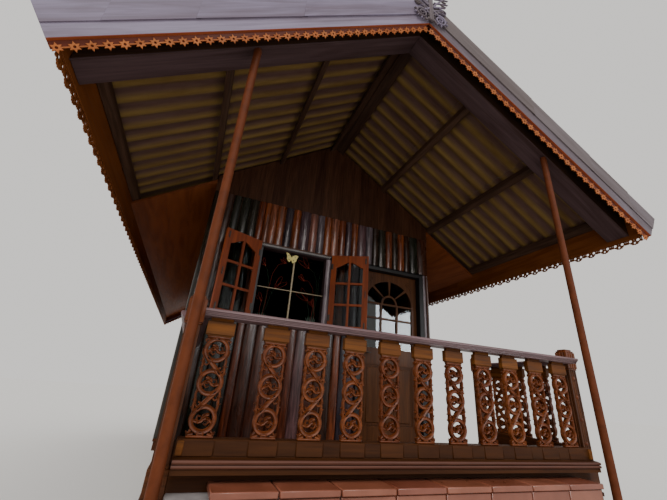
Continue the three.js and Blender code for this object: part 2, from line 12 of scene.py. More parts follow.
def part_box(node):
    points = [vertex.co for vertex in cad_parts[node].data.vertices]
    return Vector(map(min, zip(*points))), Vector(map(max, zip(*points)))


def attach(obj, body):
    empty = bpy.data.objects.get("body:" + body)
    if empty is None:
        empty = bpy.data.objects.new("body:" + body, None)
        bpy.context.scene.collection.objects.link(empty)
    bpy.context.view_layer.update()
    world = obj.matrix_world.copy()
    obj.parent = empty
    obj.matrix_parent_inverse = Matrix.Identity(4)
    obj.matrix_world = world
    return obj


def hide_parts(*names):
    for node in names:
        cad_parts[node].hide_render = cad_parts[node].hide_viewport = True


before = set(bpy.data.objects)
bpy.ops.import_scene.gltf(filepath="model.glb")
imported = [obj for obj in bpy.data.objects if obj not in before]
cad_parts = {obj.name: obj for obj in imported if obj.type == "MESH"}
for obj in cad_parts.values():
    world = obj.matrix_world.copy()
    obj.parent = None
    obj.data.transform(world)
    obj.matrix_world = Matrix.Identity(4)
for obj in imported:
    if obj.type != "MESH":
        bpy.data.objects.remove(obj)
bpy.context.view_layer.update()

# Camera of the photograph
PHOTO_WIDTH = 667
FOCAL_PIXELS = 345.99
SENSOR_WIDTH = 36.0
CAMERA_PLACE = (-1.4454, -2.0184, 1.4396)
CAMERA_YAW = 0.3530
CAMERA_PITCH = 0.4312
CAMERA_ROLL = 0.0744
CENTRE_OFFSET_PIXELS = (5.178, -18.91)

# Ground and floors
TILE_COLUMNS = 8
TILE_ROWS = 6
TILE_COURSE = 0.17
GROUT_GAP = 0.004
LEDGE_END = -0.56
LEDGE_TOP = 0.955
LEDGE_BACK = 0.098
MASONRY_COURSES = 4
MASONRY_LENGTH = 0.40
FLOOR_BOARD_WIDTH = 0.142
JOIST_SPACING = 0.6
DECK_TOP = 0.9005

# Roof, with depths square to its surface
SIDES = ((-1, "left"), (1, "right"))
RIDGE_TOP = 5.061
SLOPE = 0.6616
SLOPE_COS = 1.0 / math.hypot(1.0, SLOPE)
SLOPE_SINE = SLOPE * SLOPE_COS
RIDGE_GAP = 0.002
VERGE_TIP_X = 2.700
VERGE_LAP = 0.165
VERGE_BOTTOM = 0.272
CAP_LAPS = (1.175, 1.87, 2.33)
RIDGE_CAP_PIECES = 9
SHEET_DEPTH = 0.040
SHEET_ROWS = ((0.004, 0.92), (0.76, 1.76), (1.60, None))
CORRUGATION_PITCH = 0.177
WAVE_HEIGHT = 0.0125
PURLIN_DEPTH = 0.100
PURLIN_LINES = ((0.800, 0.860), (1.635, 1.695), (2.430, 2.490))
RAFTER_DEPTH = 0.262
RAFTER_FRONT = -0.062
RAFTER_BACK = 0.165
SOFFIT_DEPTH = 0.135
FASCIA_BOTTOM = 3.064
FASCIA_LENGTHS = 4
EAVE_PITCH = 0.150

# Star band under the verge
STAR_DEPTH = 0.314
STAR_SETBACK = 0.0396
STAR_TILT_COS = math.cos(math.radians(20.0))
STAR_TILT_SINE = math.sin(math.radians(20.0))
STAR_COUNT = 36
FIRST_STAR = 0.2457
LAST_STAR = 3.197
STAR_RADIUS = 0.032
STAR_HOLE = 0.0085

# Walls
WALL_THICKNESS = 0.12
LINING_THICKNESS = 0.016
LINING_WIDTH = 0.14
LOG_RELIEF = 0.036
LOG_WIDTH = 0.118
GABLE_BOARDS = 22

# Window
WINDOW_MIDDLE = -0.4625
CROSS_BAR_BOTTOM = 2.542
CROSS_BAR_TOP = 2.554
UPRIGHT_TOP = 2.925
ROPE_STRANDS = 40
WING_OFFSET = 0.042
FEELER_OFFSET = 0.007
SASH_SIZE = (0.500, 0.035, 1.000)
SASH_TOP = 3.108
SASH_STILE = 0.072
SASH_BAR = 0.028
SASH_FOOT = 0.063
SASH_PANE_HEIGHT = 0.253
SASH_SPRING_LINE = 0.825
SASH_PEAK = 0.907
SASH_HINGES = {"left_sash": (-0.940, -154.0, False), "right_sash": (0.045, 152.0, True)}
SASH_BACK_Y = 2.1967

# Door
DOOR_LEFT, DOOR_RIGHT = 0.5555, 1.4465
DOOR_FOOT, DOOR_HEAD = 0.9055, 3.0445
DOOR_FRONT, DOOR_BACK = 2.307, 2.347
DOOR_STILE = 0.078
DOOR_BAR = 0.022
DOOR_PANE_ROWS = 3
DOOR_MIDDLE = 1.001
DOOR_SPRING_LINE = 2.605
DOOR_ARCH_RISE = 0.330
DOOR_GLASS_BOTTOM = 1.992
FAN_PANES = ((0.0, 41.0), (47.0, 87.0), (93.0, 133.0), (139.0, 180.0))
FAN_INNER = 0.125
FAN_CENTRE = 0.100
PANEL_GAP = 0.060
LINTEL_BOTTOM = 3.050
HINGE_AXIS = (1.44925, 2.354)
FRAME_HINGES = (1.100, 1.950, 2.800)
LEAF_HINGES = (1.150, 2.000, 2.850)
KNUCKLE_RADIUS = 0.005
KNUCKLE_HEIGHT = 0.0495
HANDLE_LEVEL = 1.925

# Balustrade
BLOCK_WIDTH = 0.152
BALUSTER_PITCH = 0.2532
BALUSTER_COUNT = 10
FIRST_BALUSTER_X = -1.009
NEWEL_BALUSTER_X = -1.328
BALUSTER_RINGS = (1.597, 1.434, 1.262)
RING_RADIUS = 0.0565
HANDRAIL_BOTTOM = 1.765
BASE_RAIL_TOP = 1.178
NEWEL_WIDTH = 0.100
ENTRY_NEWEL_X = 1.429
KNOB_LEVELS = (1.20, 1.36, 1.52, 1.66)
SIDE_RAIL_X = 1.480
LEFT_RAIL_END = 2.2267
RIGHT_RAIL_END = 1.150

random.seed(7)


def roof_height(x, under=0.0):
    return RIDGE_TOP - SLOPE * abs(x) - under / SLOPE_COS


# Ways to place local points in the house


def as_is(point):
    return point


def moved(x=0.0, y=0.0, z=0.0, then=as_is, sign_x=1.0, sign_y=1.0):
    """Shifts local points, mirrored in X or Y where a sign is -1, and then places them."""
    return lambda p: then(Vector((x + sign_x * p.x, y + sign_y * p.y, z + p.z)))


def x_and_y_swapped(p):
    return Vector((p.y, p.x, p.z))


def y_and_z_swapped(p):
    return Vector((p.x, p.z, p.y))


def on_roof(side):
    """Local x runs from the ridge to the eave, y stays, z is measured square to the roof surface."""
    return lambda p: Vector((side * p.x, p.y, roof_height(p.x, -p.z)))


def on_wall(node, facing):
    """Local x runs along the wall, y out of it and z up: the placing and the wall's length."""
    (x0, y0, _), (x1, y1, _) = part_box(node)
    if facing == "front":
        return moved(x0, y0, sign_y=-1.0), x1 - x0
    if facing == "back":
        return moved(x0, y1), x1 - x0
    side, outer = (-1.0, x0) if facing == "left" else (1.0, x1)
    return beside(side, outer, y0), y1 - y0


def beside(side, outer, start=0.0):
    """Local x runs to the back from the start, and y out to the side."""
    return lambda p: Vector((outer + side * p.y, start + p.x, p.z))


def turned(angle, shift, mirrored=False):
    """Turns about the upright axis, after a mirror in X where asked."""
    turn = Matrix.Rotation(math.radians(angle), 3, "Z")
    sign = -1.0 if mirrored else 1.0
    return lambda p: turn @ Vector((sign * p.x, p.y, p.z)) + Vector(shift)


def on_star_band(side, face, out):
    """Local x runs down the slope, z up the tilted star band and y into it."""
    def place(p):
        under = STAR_DEPTH - p.z * STAR_TILT_COS - p.y * STAR_TILT_SINE
        x = p.x * SLOPE_COS - under * SLOPE_SINE
        y = face - out * (STAR_SETBACK - p.z * STAR_TILT_SINE + p.y * STAR_TILT_COS)
        return Vector((side * x, y, RIDGE_TOP - p.x * SLOPE_SINE - under * SLOPE_COS))
    return place


# Solid shapes


class Shape:
    """Points and faces of one piece, with a tone and a grain place for each point."""

    def __init__(self):
        self.points = []
        self.faces = []
        self.tones = []
        self.grains = []
        self.slots = []

    def add(self, points, faces, place=as_is, tone=None, along=0, slot=0):
        """Adds points and faces; without a tone a random one is drawn. The grain runs along one axis."""
        start = len(self.points)
        tone = random.random() if tone is None else tone
        tones = tone if isinstance(tone, list) else [tone] * len(points)
        offset = Vector((random.random(), random.random(), random.random())) * 20.0
        order = [along] + [axis for axis in range(3) if axis != along]
        for point in points:
            local = Vector(point)
            self.points.append(place(local))
            self.grains.append(Vector([local[axis] for axis in order]) + offset)
        self.tones += tones
        self.faces += [[start + index for index in face] for face in faces]
        self.slots += [slot] * len(faces)


def box_corner(axis, side, first, second):
    """Signs of a corner, from its side along one axis and its places along the other two."""
    sign = [first, second]
    sign.insert(axis, side)
    return tuple(sign)


def block(shape, corner, opposite, place=as_is, tone=None, along=0, slot=0, chamfer=0.003):
    """Box with chamfered edges."""
    lowest = [min(a, b) for a, b in zip(corner, opposite)]
    highest = [max(a, b) for a, b in zip(corner, opposite)]
    cut = min(chamfer, 0.3 * min(b - a for a, b in zip(lowest, highest)))
    signs = list(itertools.product((0, 1), repeat=3))
    points = []
    number = {}
    for sign in signs:
        edge = [highest[axis] if sign[axis] else lowest[axis] for axis in range(3)]
        inner = [edge[axis] + (-cut if sign[axis] else cut) for axis in range(3)]
        for axis in range(3):
            number[sign, axis] = len(points)
            points.append([edge[other] if other == axis else inner[other] for other in range(3)])
    faces = []
    for axis in range(3):
        one, two = [other for other in range(3) if other != axis]
        for side in (0, 1):
            ring = [box_corner(axis, side, *turn) for turn in ((0, 0), (1, 0), (1, 1), (0, 1))]
            faces.append([number[sign, axis] for sign in ring])
        for turn in itertools.product((0, 1), repeat=2):
            start, end = box_corner(axis, 0, *turn), box_corner(axis, 1, *turn)
            faces.append([number[start, one], number[end, one], number[end, two], number[start, two]])
    faces += [[number[sign, axis] for axis in range(3)] for sign in signs]
    shape.add(points, faces, place, tone, along, slot)


def pierced(shape, outline, y0, y1, place=as_is, tone=None, along=0, slot=0, holes=()):
    """Board in X and Z with holes."""
    loops = [outline, *[list(reversed(hole)) for hole in holes]]
    flat = [point for loop in loops for point in loop]
    count = len(flat)
    triangles = tessellate_polygon([[Vector((x, z, 0.0)) for x, z in loop] for loop in loops])
    points = [(x, y, z) for y in (y0, y1) for x, z in flat]
    faces = [list(triangle) for triangle in triangles]
    faces += [[index + count for index in reversed(triangle)] for triangle in triangles]
    start = 0
    for loop in loops:
        for index in range(len(loop)):
            a = start + index
            b = start + (index + 1) % len(loop)
            faces.append([a, b, b + count, a + count])
        start += len(loop)
    shape.add(points, faces, place, tone, along, slot)


def moulding(shape, profile, x0, x1, place=as_is, tone=None, slot=0):
    """Profile of Y and Z points carried along X."""
    count = len(profile)
    points = [(x, y, z) for x in (x0, x1) for y, z in profile]
    faces = [[i, (i + 1) % count, (i + 1) % count + count, i + count] for i in range(count)]
    faces += [list(range(count)), [index + count for index in range(count)]]
    shape.add(points, faces, place, tone, 0, slot)


def round_section(sides):
    turns = [2.0 * math.pi * (side + 0.5) / sides for side in range(sides)]
    return [(0.5 * math.cos(turn), 0.5 * math.sin(turn)) for turn in turns]


# Sections of a strip, as shares of its width and depth
ROUND_STRIP = round_section(8)
WIRE = round_section(6)
HOLLOWED_STRIP = [
    (-0.50, -0.30), (-0.38, -0.50), (-0.14, -0.34), (0.14, -0.34), (0.38, -0.50), (0.50, -0.30),
    (0.50, 0.30), (0.38, 0.50), (0.14, 0.34), (-0.14, 0.34), (-0.38, 0.50), (-0.50, 0.30),
]


def ribbon(shape, path, width, depth, y=0.0, place=as_is, closed=False, taper=1.0, tone=None,
           section=ROUND_STRIP, slot=0):
    """Strip along a path in X and Z with a given section; an open one narrows to its end by the taper."""
    count = len(path)
    sides = len(section)
    points = []
    for index, (x, z) in enumerate(path):
        before = path[index - 1] if closed or index > 0 else path[index]
        after = path[(index + 1) % count] if closed or index < count - 1 else path[index]
        direction = Vector((after[0] - before[0], after[1] - before[1])).normalized()
        share = 0.0 if closed else index / (count - 1)
        scale = 1.0 + (taper - 1.0) * share
        for across, through in section:
            out = width * scale * across
            points.append((x - direction.y * out, y + depth * through, z + direction.x * out))
    faces = []
    for index in range(count if closed else count - 1):
        a = index * sides
        b = ((index + 1) % count) * sides
        for side in range(sides):
            other = (side + 1) % sides
            faces.append([a + side, a + other, b + other, b + side])
    if not closed:
        faces.append(list(range(sides)))
        faces.append([(count - 1) * sides + side for side in range(sides)])
    shape.add(points, faces, place, tone, 0, slot)


def turning(shape, profile, centre, place=as_is, sides=32, tone=None, slot=0):
    """Round piece on an upright axis, from pairs of radius and height."""
    points = []
    for radius, z in profile:
        for side in range(sides):
            turn = 2.0 * math.pi * side / sides
            points.append((centre[0] + radius * math.cos(turn), centre[1] + radius * math.sin(turn), z))
    faces = []
    for ring in range(len(profile) - 1):
        for side in range(sides):
            other = (side + 1) % sides
            a = ring * sides
            faces.append([a + side, a + other, a + sides + other, a + sides + side])
    faces.append(list(range(sides)))
    faces.append([(len(profile) - 1) * sides + side for side in range(sides)])
    shape.add(points, faces, place, tone, 2, slot)


def circle(centre, radius, steps, start=0.0, sweep=360.0, flatten=1.0):
    """Points of an arc in X and Z; a full turn leaves out the repeated last point."""
    last = steps if abs(sweep) >= 360.0 else steps - 1
    points = []
    for step in range(steps):
        turn = math.radians(start + sweep * step / last)
        points.append((centre[0] + radius * math.cos(turn), centre[1] + flatten * radius * math.sin(turn)))
    return points


def spiral(centre, radius, inner, start, sweep, steps):
    """Curl that winds in from a radius to an inner one."""
    points = []
    for step in range(steps):
        share = step / (steps - 1)
        turn = math.radians(start + sweep * share)
        reach = radius + (inner - radius) * share
        points.append((centre[0] + reach * math.cos(turn), centre[1] + reach * math.sin(turn)))
    return points


def rectangle(x0, x1, z0, z1):
    return [(x0, z0), (x1, z0), (x1, z1), (x0, z1)]


def link(piece):
    bpy.context.scene.collection.objects.link(piece)
    return piece


def make_piece(name, shape, materials, nodes=(), body="house", smooth_angle=40.0, bevel=0.0):
    """Turns a shape into an object that rides on a body and stands for the given nodes."""
    mesh = bpy.data.meshes.new(name)
    mesh.from_pydata(shape.points, [], shape.faces)
    for material in materials:
        mesh.materials.append(material)
    mesh.polygons.foreach_set("material_index", shape.slots)
    tone = mesh.attributes.new("tone", "FLOAT", "POINT")
    tone.data.foreach_set("value", shape.tones)
    grain = mesh.attributes.new("grain", "FLOAT_VECTOR", "POINT")
    grain.data.foreach_set("vector", [value for point in shape.grains for value in point])
    work = bmesh.new()
    work.from_mesh(mesh)
    bmesh.ops.recalc_face_normals(work, faces=work.faces)
    work.to_mesh(mesh)
    work.free()
    mesh.shade_smooth()
    mesh.set_sharp_from_angle(angle=math.radians(smooth_angle))
    piece = link(bpy.data.objects.new(name, mesh))
    if bevel:
        modifier = piece.modifiers.new("bevel", "BEVEL")
        modifier.width = bevel
        modifier.segments = 2
        modifier.limit_method = "ANGLE"
        modifier.angle_limit = math.radians(40.0)
    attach(piece, body)
    if nodes:
        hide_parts(*nodes)


# Materials


def grey(level):
    return (level, level, level)


class Nodes:
    """Short way to wire a material's nodes."""

    def __init__(self, name):
        self.material = bpy.data.materials.new(name)
        self.material.use_nodes = True
        self.tree = self.material.node_tree
        self.shader = self.tree.nodes["Principled BSDF"]

    def make(self, kind, **values):
        node = self.tree.nodes.new(kind)
        for key, value in values.items():
            setattr(node, key, value)
        return node

    def link(self, source, target):
        self.tree.links.new(source, target)

    def attribute(self, name, output):
        return self.make("ShaderNodeAttribute", attribute_name=name).outputs[output]

    def place(self):
        return self.make("ShaderNodeTexCoord").outputs["Object"]

    def upright_part(self, vector):
        node = self.make("ShaderNodeSeparateXYZ")
        self.link(vector, node.inputs["Vector"])
        return node.outputs["Z"]

    def stretched(self, vector, scale):
        node = self.make("ShaderNodeMapping")
        node.inputs["Scale"].default_value = scale
        self.link(vector, node.inputs["Vector"])
        return node.outputs["Vector"]

    def noise(self, vector, scale, detail=5.0, roughness=0.55, distortion=0.0):
        node = self.make("ShaderNodeTexNoise")
        values = {"Scale": scale, "Detail": detail, "Roughness": roughness, "Distortion": distortion}
        for key, value in values.items():
            node.inputs[key].default_value = value
        self.link(vector, node.inputs["Vector"])
        return node.outputs["Fac"]

    def ramp(self, factor, *stops):
        node = self.make("ShaderNodeValToRGB")
        elements = node.color_ramp.elements
        while len(elements) < len(stops):
            elements.new(0.5)
        for element, (position, color) in zip(elements, stops):
            element.position = position
            element.color = (*color, 1.0)
        self.link(factor, node.inputs["Fac"])
        return node.outputs["Color"]

    def mix(self, kind, factor, first, second):
        node = self.make("ShaderNodeMix", data_type="RGBA", blend_type=kind)
        for socket, value in ((node.inputs[0], factor), (node.inputs[6], first), (node.inputs[7], second)):
            if isinstance(value, bpy.types.NodeSocket):
                self.link(value, socket)
            else:
                socket.default_value = value
        return node.outputs[2]

    def multiply(self, first, second, share=1.0):
        return self.mix("MULTIPLY", share, first, second)

    def span(self, factor, from_low, from_high, to_low, to_high):
        node = self.make("ShaderNodeMapRange")
        for index, value in enumerate((from_low, from_high, to_low, to_high)):
            node.inputs[index + 1].default_value = value
        self.link(factor, node.inputs[0])
        return node.outputs[0]

    def bump(self, height, strength, distance):
        node = self.make("ShaderNodeBump")
        node.inputs["Strength"].default_value = strength
        node.inputs["Distance"].default_value = distance
        self.link(height, node.inputs["Height"])
        self.link(node.outputs["Normal"], self.shader.inputs["Normal"])

    def color(self, color):
        self.link(color, self.shader.inputs["Base Color"])

    def roughness(self, factor, smooth, rough):
        self.link(self.span(factor, 0.3, 0.7, smooth, rough), self.shader.inputs["Roughness"])

    def set(self, **values):
        """Sets plain shader inputs, named with underscores for spaces."""
        for key, value in values.items():
            self.shader.inputs[key.replace("_", " ")].default_value = value


def wood(name, tones, dark=0.45, coat=0.0, coat_roughness=0.2, rough=(0.45, 0.65), bump=0.25, specular=0.1):
    """Grained timber whose boards differ in tone; the tones run from the first board colour to the last."""
    m = Nodes(name)
    grain = m.attribute("grain", "Vector")
    fibres = m.noise(m.stretched(grain, (1.6, 30.0, 30.0)), 2.0, 7.0, 0.6, 0.4)
    figure = m.noise(m.stretched(grain, (0.9, 9.0, 9.0)), 1.0, 3.0, 0.5, 1.2)
    steps = [(index / max(1, len(tones) - 1), color) for index, color in enumerate(tones)]
    board = m.ramp(m.attribute("tone", "Fac"), *steps)
    shade = m.ramp(fibres, (0.30, grey(dark)), (0.62, grey(1.0)))
    streaks = m.ramp(figure, (0.35, (0.62, 0.56, 0.52)), (0.60, grey(1.0)))
    m.color(m.multiply(m.multiply(board, shade), streaks, 0.8))
    m.roughness(fibres, *rough)
    m.bump(fibres, bump, 0.003)
    m.set(Specular_IOR_Level=specular, Coat_Weight=coat, Coat_Roughness=coat_roughness)
    return m.material


def log_wood(name):
    """Varnished half logs, from almost black to orange and weathered purple grey; the pale end of the scale
    also serves as painted highlight on some logs, and the brightest fibre streaks are painted highlight.
    """
    m = Nodes(name)
    grain = m.attribute("grain", "Vector")
    bark = m.ramp(m.attribute("tone", "Fac"), (0.0, (0.016, 0.018, 0.012)), (0.15, (0.034, 0.014, 0.008)),
                  (0.30, (0.110, 0.026, 0.010)), (0.45, (0.200, 0.054, 0.016)), (0.60, (0.230, 0.092, 0.060)),
                  (0.75, (0.085, 0.050, 0.060)), (0.90, (0.028, 0.022, 0.030)), (1.0, (0.260, 0.215, 0.245)))
    fibres = m.noise(m.stretched(grain, (1.5, 22.0, 22.0)), 2.0, 8.0, 0.62, 0.6)
    patches = m.noise(m.stretched(grain, (1.6, 5.0, 5.0)), 1.2, 4.0, 0.6, 1.0)
    # Fibre streaks: the dark ones are grain, while the brightest, lifted to almost twice the bark colour, are
    # painted highlight.
    shade = m.ramp(fibres, (0.30, (0.22, 0.20, 0.20)), (0.52, (0.95, 0.90, 0.88)), (0.70, (1.9, 1.8, 1.8)))
    weathered = m.mix("MIX", m.span(patches, 0.54, 0.74, 0.0, 0.5), bark, (0.045, 0.033, 0.030, 1.0))
    m.color(m.multiply(weathered, shade))
    m.roughness(patches, 0.16, 0.34)
    m.bump(fibres, 0.55, 0.010)
    m.set(Specular_IOR_Level=0.26, Coat_Weight=0.1, Coat_Roughness=0.08)
    return m.material


def painted(name, color, rough=(0.35, 0.5), metallic=0.0, mottle=0.25, specular=0.3):
    """Paint or plain finish with soft mottling."""
    m = Nodes(name)
    place = m.place()
    spots = m.noise(place, 14.0, 6.0, 0.6)
    shade = m.ramp(spots, (0.32, grey(1.0 - mottle)), (0.62, grey(1.0)))
    m.color(m.multiply((*color, 1.0), shade))
    m.roughness(spots, *rough)
    m.bump(m.noise(place, 84.0, 4.0), 0.1, 0.002)
    m.set(Metallic=metallic, Specular_IOR_Level=specular)
    return m.material


def roofing(name):
    """Corrugated fibre cement, olive brown below and weathered above; below, a lighter yellowish tone on the
    wave ridges and a darker red tone in the hollows are painted light and shade.
    """
    m = Nodes(name)
    place = m.place()
    normal = m.make("ShaderNodeNewGeometry").outputs["Normal"]
    above = m.span(m.upright_part(normal), -0.1, 0.1, 0.0, 1.0)
    runs = m.noise(m.stretched(place, (1.0, 7.0, 1.0)), 1.6, 6.0, 0.6)
    spots = m.noise(place, 9.0, 8.0, 0.65)
    # Ramp from painted shade in the hollows of the waves to painted light on their ridges.
    waves = m.ramp(m.attribute("tone", "Fac"), (0.15, (0.100, 0.055, 0.044)), (0.85, (0.182, 0.113, 0.032)))
    stains = m.ramp(runs, (0.35, (0.65, 0.58, 0.55)), (0.65, grey(1.0)))
    top = m.ramp(spots, (0.30, (0.100, 0.092, 0.080)), (0.48, (0.150, 0.124, 0.108)),
                 (0.62, (0.195, 0.165, 0.147)), (0.78, (0.125, 0.125, 0.092)))
    m.color(m.mix("MIX", above, m.multiply(waves, stains), top))
    m.roughness(spots, 0.75, 0.95)
    m.bump(m.noise(place, 60.0, 5.0, 0.7), 0.3, 0.002)
    m.set(Specular_IOR_Level=0.15)
    return m.material


def tile_glaze(name):
    """Glazed pink-red tiles that differ a little from one to the next."""
    m = Nodes(name)
    clouds = m.noise(m.attribute("grain", "Vector"), 5.0, 6.0, 0.6)
    tile = m.ramp(m.attribute("tone", "Fac"), (0.0, (0.215, 0.058, 0.030)), (1.0, (0.290, 0.092, 0.048)))
    m.color(m.multiply(tile, m.ramp(clouds, (0.3, (0.72, 0.70, 0.68)), (0.65, grey(1.0)))))
    m.roughness(clouds, 0.25, 0.5)
    m.bump(clouds, 0.1, 0.002)
    m.set(Coat_Weight=0.3, Coat_Roughness=0.15)
    return m.material


def masonry(name, color):
    """Rough rendered blocks, darker near the ground."""
    m = Nodes(name)
    place = m.place()
    darker_near_ground = m.span(m.upright_part(place), 0.0, 0.45, 0.45, 1.0)
    spots = m.noise(place, 6.0, 8.0, 0.65)
    shade = m.ramp(spots, (0.30, (0.60, 0.58, 0.55)), (0.65, grey(1.0)))
    tone = m.ramp(m.attribute("tone", "Fac"), (0.0, (0.85, 0.84, 0.82)), (1.0, grey(1.0)))
    m.color(m.multiply(m.multiply(m.multiply((*color, 1.0), shade), tone), darker_near_ground))
    m.roughness(spots, 0.8, 0.95)
    m.bump(m.noise(place, 45.0, 7.0, 0.7), 0.5, 0.004)
    return m.material


def window_glass(name, refraction):
    """Clear glass with a little dust; a higher index of refraction makes it glossier."""
    m = Nodes(name)
    dust = m.noise(m.place(), 4.0, 6.0, 0.6)
    m.color(m.ramp(dust, (0.3, (0.34, 0.38, 0.38)), (0.7, (0.42, 0.46, 0.46))))
    m.roughness(dust, 0.0, 0.01)
    m.set(Transmission_Weight=1.0, IOR=refraction)
    return m.material


LOGS = log_wood("half_logs")
PLANKS = wood("wall_lining", [(0.090, 0.034, 0.014), (0.140, 0.054, 0.020)])
VARNISHED = wood("varnished_timber", [(0.062, 0.018, 0.007), (0.115, 0.038, 0.011), (0.085, 0.023, 0.009)],
                 specular=0.15)
RAIL = wood("base_rail_timber", [(0.056, 0.018, 0.004), (0.082, 0.026, 0.006)], dark=0.65)
BEADS = wood("rail_beads", [(0.115, 0.042, 0.026), (0.140, 0.054, 0.033)], dark=0.7, specular=0.15)
# Its lighter, bluer stops give the left verge a painted sky sheen, and its darker ones give the right verge
# its painted shade.
TRIM = wood("mauve_trim", [(0.160, 0.132, 0.134), (0.175, 0.145, 0.175), (0.240, 0.205, 0.290),
                           (0.275, 0.235, 0.320)], dark=0.75, bump=0.1)
HANDRAIL = wood("handrail_varnish", [(0.185, 0.116, 0.124), (0.228, 0.146, 0.155)], dark=0.6, coat=0.08,
                rough=(0.35, 0.5), bump=0.1)
CARVED = wood("carved_timber", [(0.150, 0.036, 0.009), (0.215, 0.058, 0.014)], dark=0.4, rough=(0.3, 0.5),
              specular=0.18)
BLOCKS = wood("yellow_blocks", [(0.160, 0.052, 0.008), (0.200, 0.068, 0.012), (0.130, 0.040, 0.008)])
FRET = wood("orange_fretwork", [(0.450, 0.130, 0.034), (0.530, 0.175, 0.052)], dark=0.75)
REDDISH = wood("red_strip", [(0.330, 0.075, 0.030), (0.360, 0.090, 0.034)], dark=0.8)
MAROON = wood("dark_red_backing", [(0.130, 0.028, 0.014), (0.160, 0.036, 0.018)], dark=0.8)
EAVE = wood("eave_timber", [(0.170, 0.050, 0.012), (0.215, 0.066, 0.014)], dark=0.7)
DARK = wood("dark_timber", [(0.060, 0.030, 0.018), (0.080, 0.040, 0.023)])
GABLE = wood("gable_boards", [(0.062, 0.025, 0.013), (0.088, 0.036, 0.018)], specular=0.05, dark=0.5)
BAND = wood("rafter_face", [(0.070, 0.043, 0.046), (0.082, 0.050, 0.052)], dark=0.7, specular=0.05)
BLACK_AND_SHADE = wood("black_frame_and_shade", [(0.010, 0.010, 0.012), (0.016, 0.015, 0.017)], specular=0.3)
SOFFIT = wood("soffit_boards", [(0.160, 0.042, 0.011), (0.185, 0.050, 0.013)], dark=0.8, bump=0.08)
SASH = wood("sash_timber", [(0.270, 0.050, 0.012), (0.320, 0.066, 0.016)], dark=0.7, coat=0.06,
            coat_roughness=0.15, bump=0.1)
DOOR = wood("door_timber", [(0.100, 0.035, 0.010), (0.130, 0.046, 0.014)], dark=0.55, coat=0.05,
            coat_roughness=0.15, bump=0.12)
SHEET = roofing("roof_sheets")
TILE = tile_glaze("plinth_tiles")
GROUT = masonry("grout", (0.20, 0.16, 0.14))
MASONRY = masonry("block_walls", (0.38, 0.34, 0.29))
STEEL = painted("brown_red_paint", (0.126, 0.034, 0.013), rough=(0.45, 0.6), mottle=0.3, specular=0.06)
YELLOW = painted("lemon_yellow_paint", (0.78, 0.66, 0.16), mottle=0.15)
CREAM = painted("cream_paint", (0.46, 0.36, 0.20))
PALE_AND_HIGHLIGHT = painted("pale_grey_paint_and_highlight", (0.36, 0.33, 0.32), mottle=0.3)
RED_WIRE = painted("red_wire", (0.42, 0.050, 0.022), mottle=0.2)
GREEN_WIRE = painted("green_wire", (0.030, 0.105, 0.055), mottle=0.2)
HANDLE = painted("dark_metal", (0.05, 0.045, 0.04), rough=(0.3, 0.45), metallic=0.8)
SASH_GLASS = window_glass("sash_glass", 1.2)
DOOR_GLASS = window_glass("door_glass", 1.5)


# Ground and floors


def make_plinth():
    """Tiled block with a lower ledge on the left, stepped in below its top course."""
    (ledge_left, y0, _), (half, y1, top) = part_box("tiled_plinth")
    front = y0 + 0.060
    shape = Shape()
    block(shape, (-half + 0.03, front + 0.03, 0.0), (half - 0.03, y1 - 0.002, top - 0.012), slot=1)
    tile = 2.0 * half / TILE_COLUMNS
    for column in range(TILE_COLUMNS):
        left = -half + column * tile + GROUT_GAP
        right = -half + (column + 1) * tile - GROUT_GAP
        block(shape, (left, front, top - 0.03), (right, y1, top), chamfer=0.004)
        for row in range(TILE_ROWS):
            inset = 0.012 if row == 0 else 0.02
            upper = top - 0.034 - row * TILE_COURSE
            lower = max(0.0, upper - (TILE_COURSE - GROUT_GAP))
            x0 = left + (inset if column == 0 else 0.0)
            x1 = right - (inset if column == TILE_COLUMNS - 1 else 0.0)
            block(shape, (x0, front + inset, lower), (x1, front + inset + 0.02, upper))
    block(shape, (ledge_left, y0, LEDGE_TOP - 0.035), (LEDGE_END, LEDGE_BACK, LEDGE_TOP), slot=2,
          chamfer=0.006)
    block(shape, (ledge_left + 0.02, y0 + 0.02, 0.0), (LEDGE_END - 0.02, LEDGE_BACK, LEDGE_TOP - 0.03),
          slot=1)
    make_piece("plinth_tiling", shape, [TILE, GROUT, PALE_AND_HIGHLIGHT], ["tiled_plinth"])


def make_foundation(facing):
    """Coursed block wall with sunk joints."""
    node = f"foundation_{facing}_wall"
    place, length = on_wall(node, facing)
    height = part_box(node)[1].z
    shape = Shape()
    block(shape, (0.0, -WALL_THICKNESS, 0.0), (length, -0.012, height), place, 0.5, slot=1)
    rise = height / MASONRY_COURSES
    for course in range(MASONRY_COURSES):
        start = -0.5 * MASONRY_LENGTH if course % 2 else 0.0
        while start < length:
            left = max(0.0, start) + 0.005
            right = min(length, start + MASONRY_LENGTH) - 0.005
            bottom, top = course * rise + 0.005, (course + 1) * rise - 0.005
            if right - left > 0.03:
                block(shape, (left, -0.03, bottom), (right, 0.0, top), place, chamfer=0.006)
            start += MASONRY_LENGTH
    make_piece(node + "_blocks", shape, [MASONRY, GROUT], [node])


def make_floor_boards(name, node):
    """Boards laid towards the back on joists, with an edge board each side."""
    (x0, y0, z0), (x1, y1, z1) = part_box(node)
    shape = Shape()
    count = round((x1 - x0) / FLOOR_BOARD_WIDTH)
    width = (x1 - x0) / count
    for index in range(count):
        left = x0 + index * width + 0.001
        block(shape, (left, y0, z1 - 0.025), (left + width - 0.002, y1, z1), along=1, chamfer=0.002)
    under = z1 - 0.026
    for x in (x0 + 0.01, x1 - 0.05):
        block(shape, (x, y0 + 0.005, z0), (x + 0.04, y1 - 0.005, under), along=1)
    joists = max(2, round((y1 - y0) / JOIST_SPACING))
    for index in range(joists + 1):
        y = y0 + 0.005 + index * (y1 - y0 - 0.06) / joists
        block(shape, (x0 + 0.05, y, z0), (x1 - 0.05, y + 0.05, under))
    make_piece(name, shape, [VARNISHED], [node])
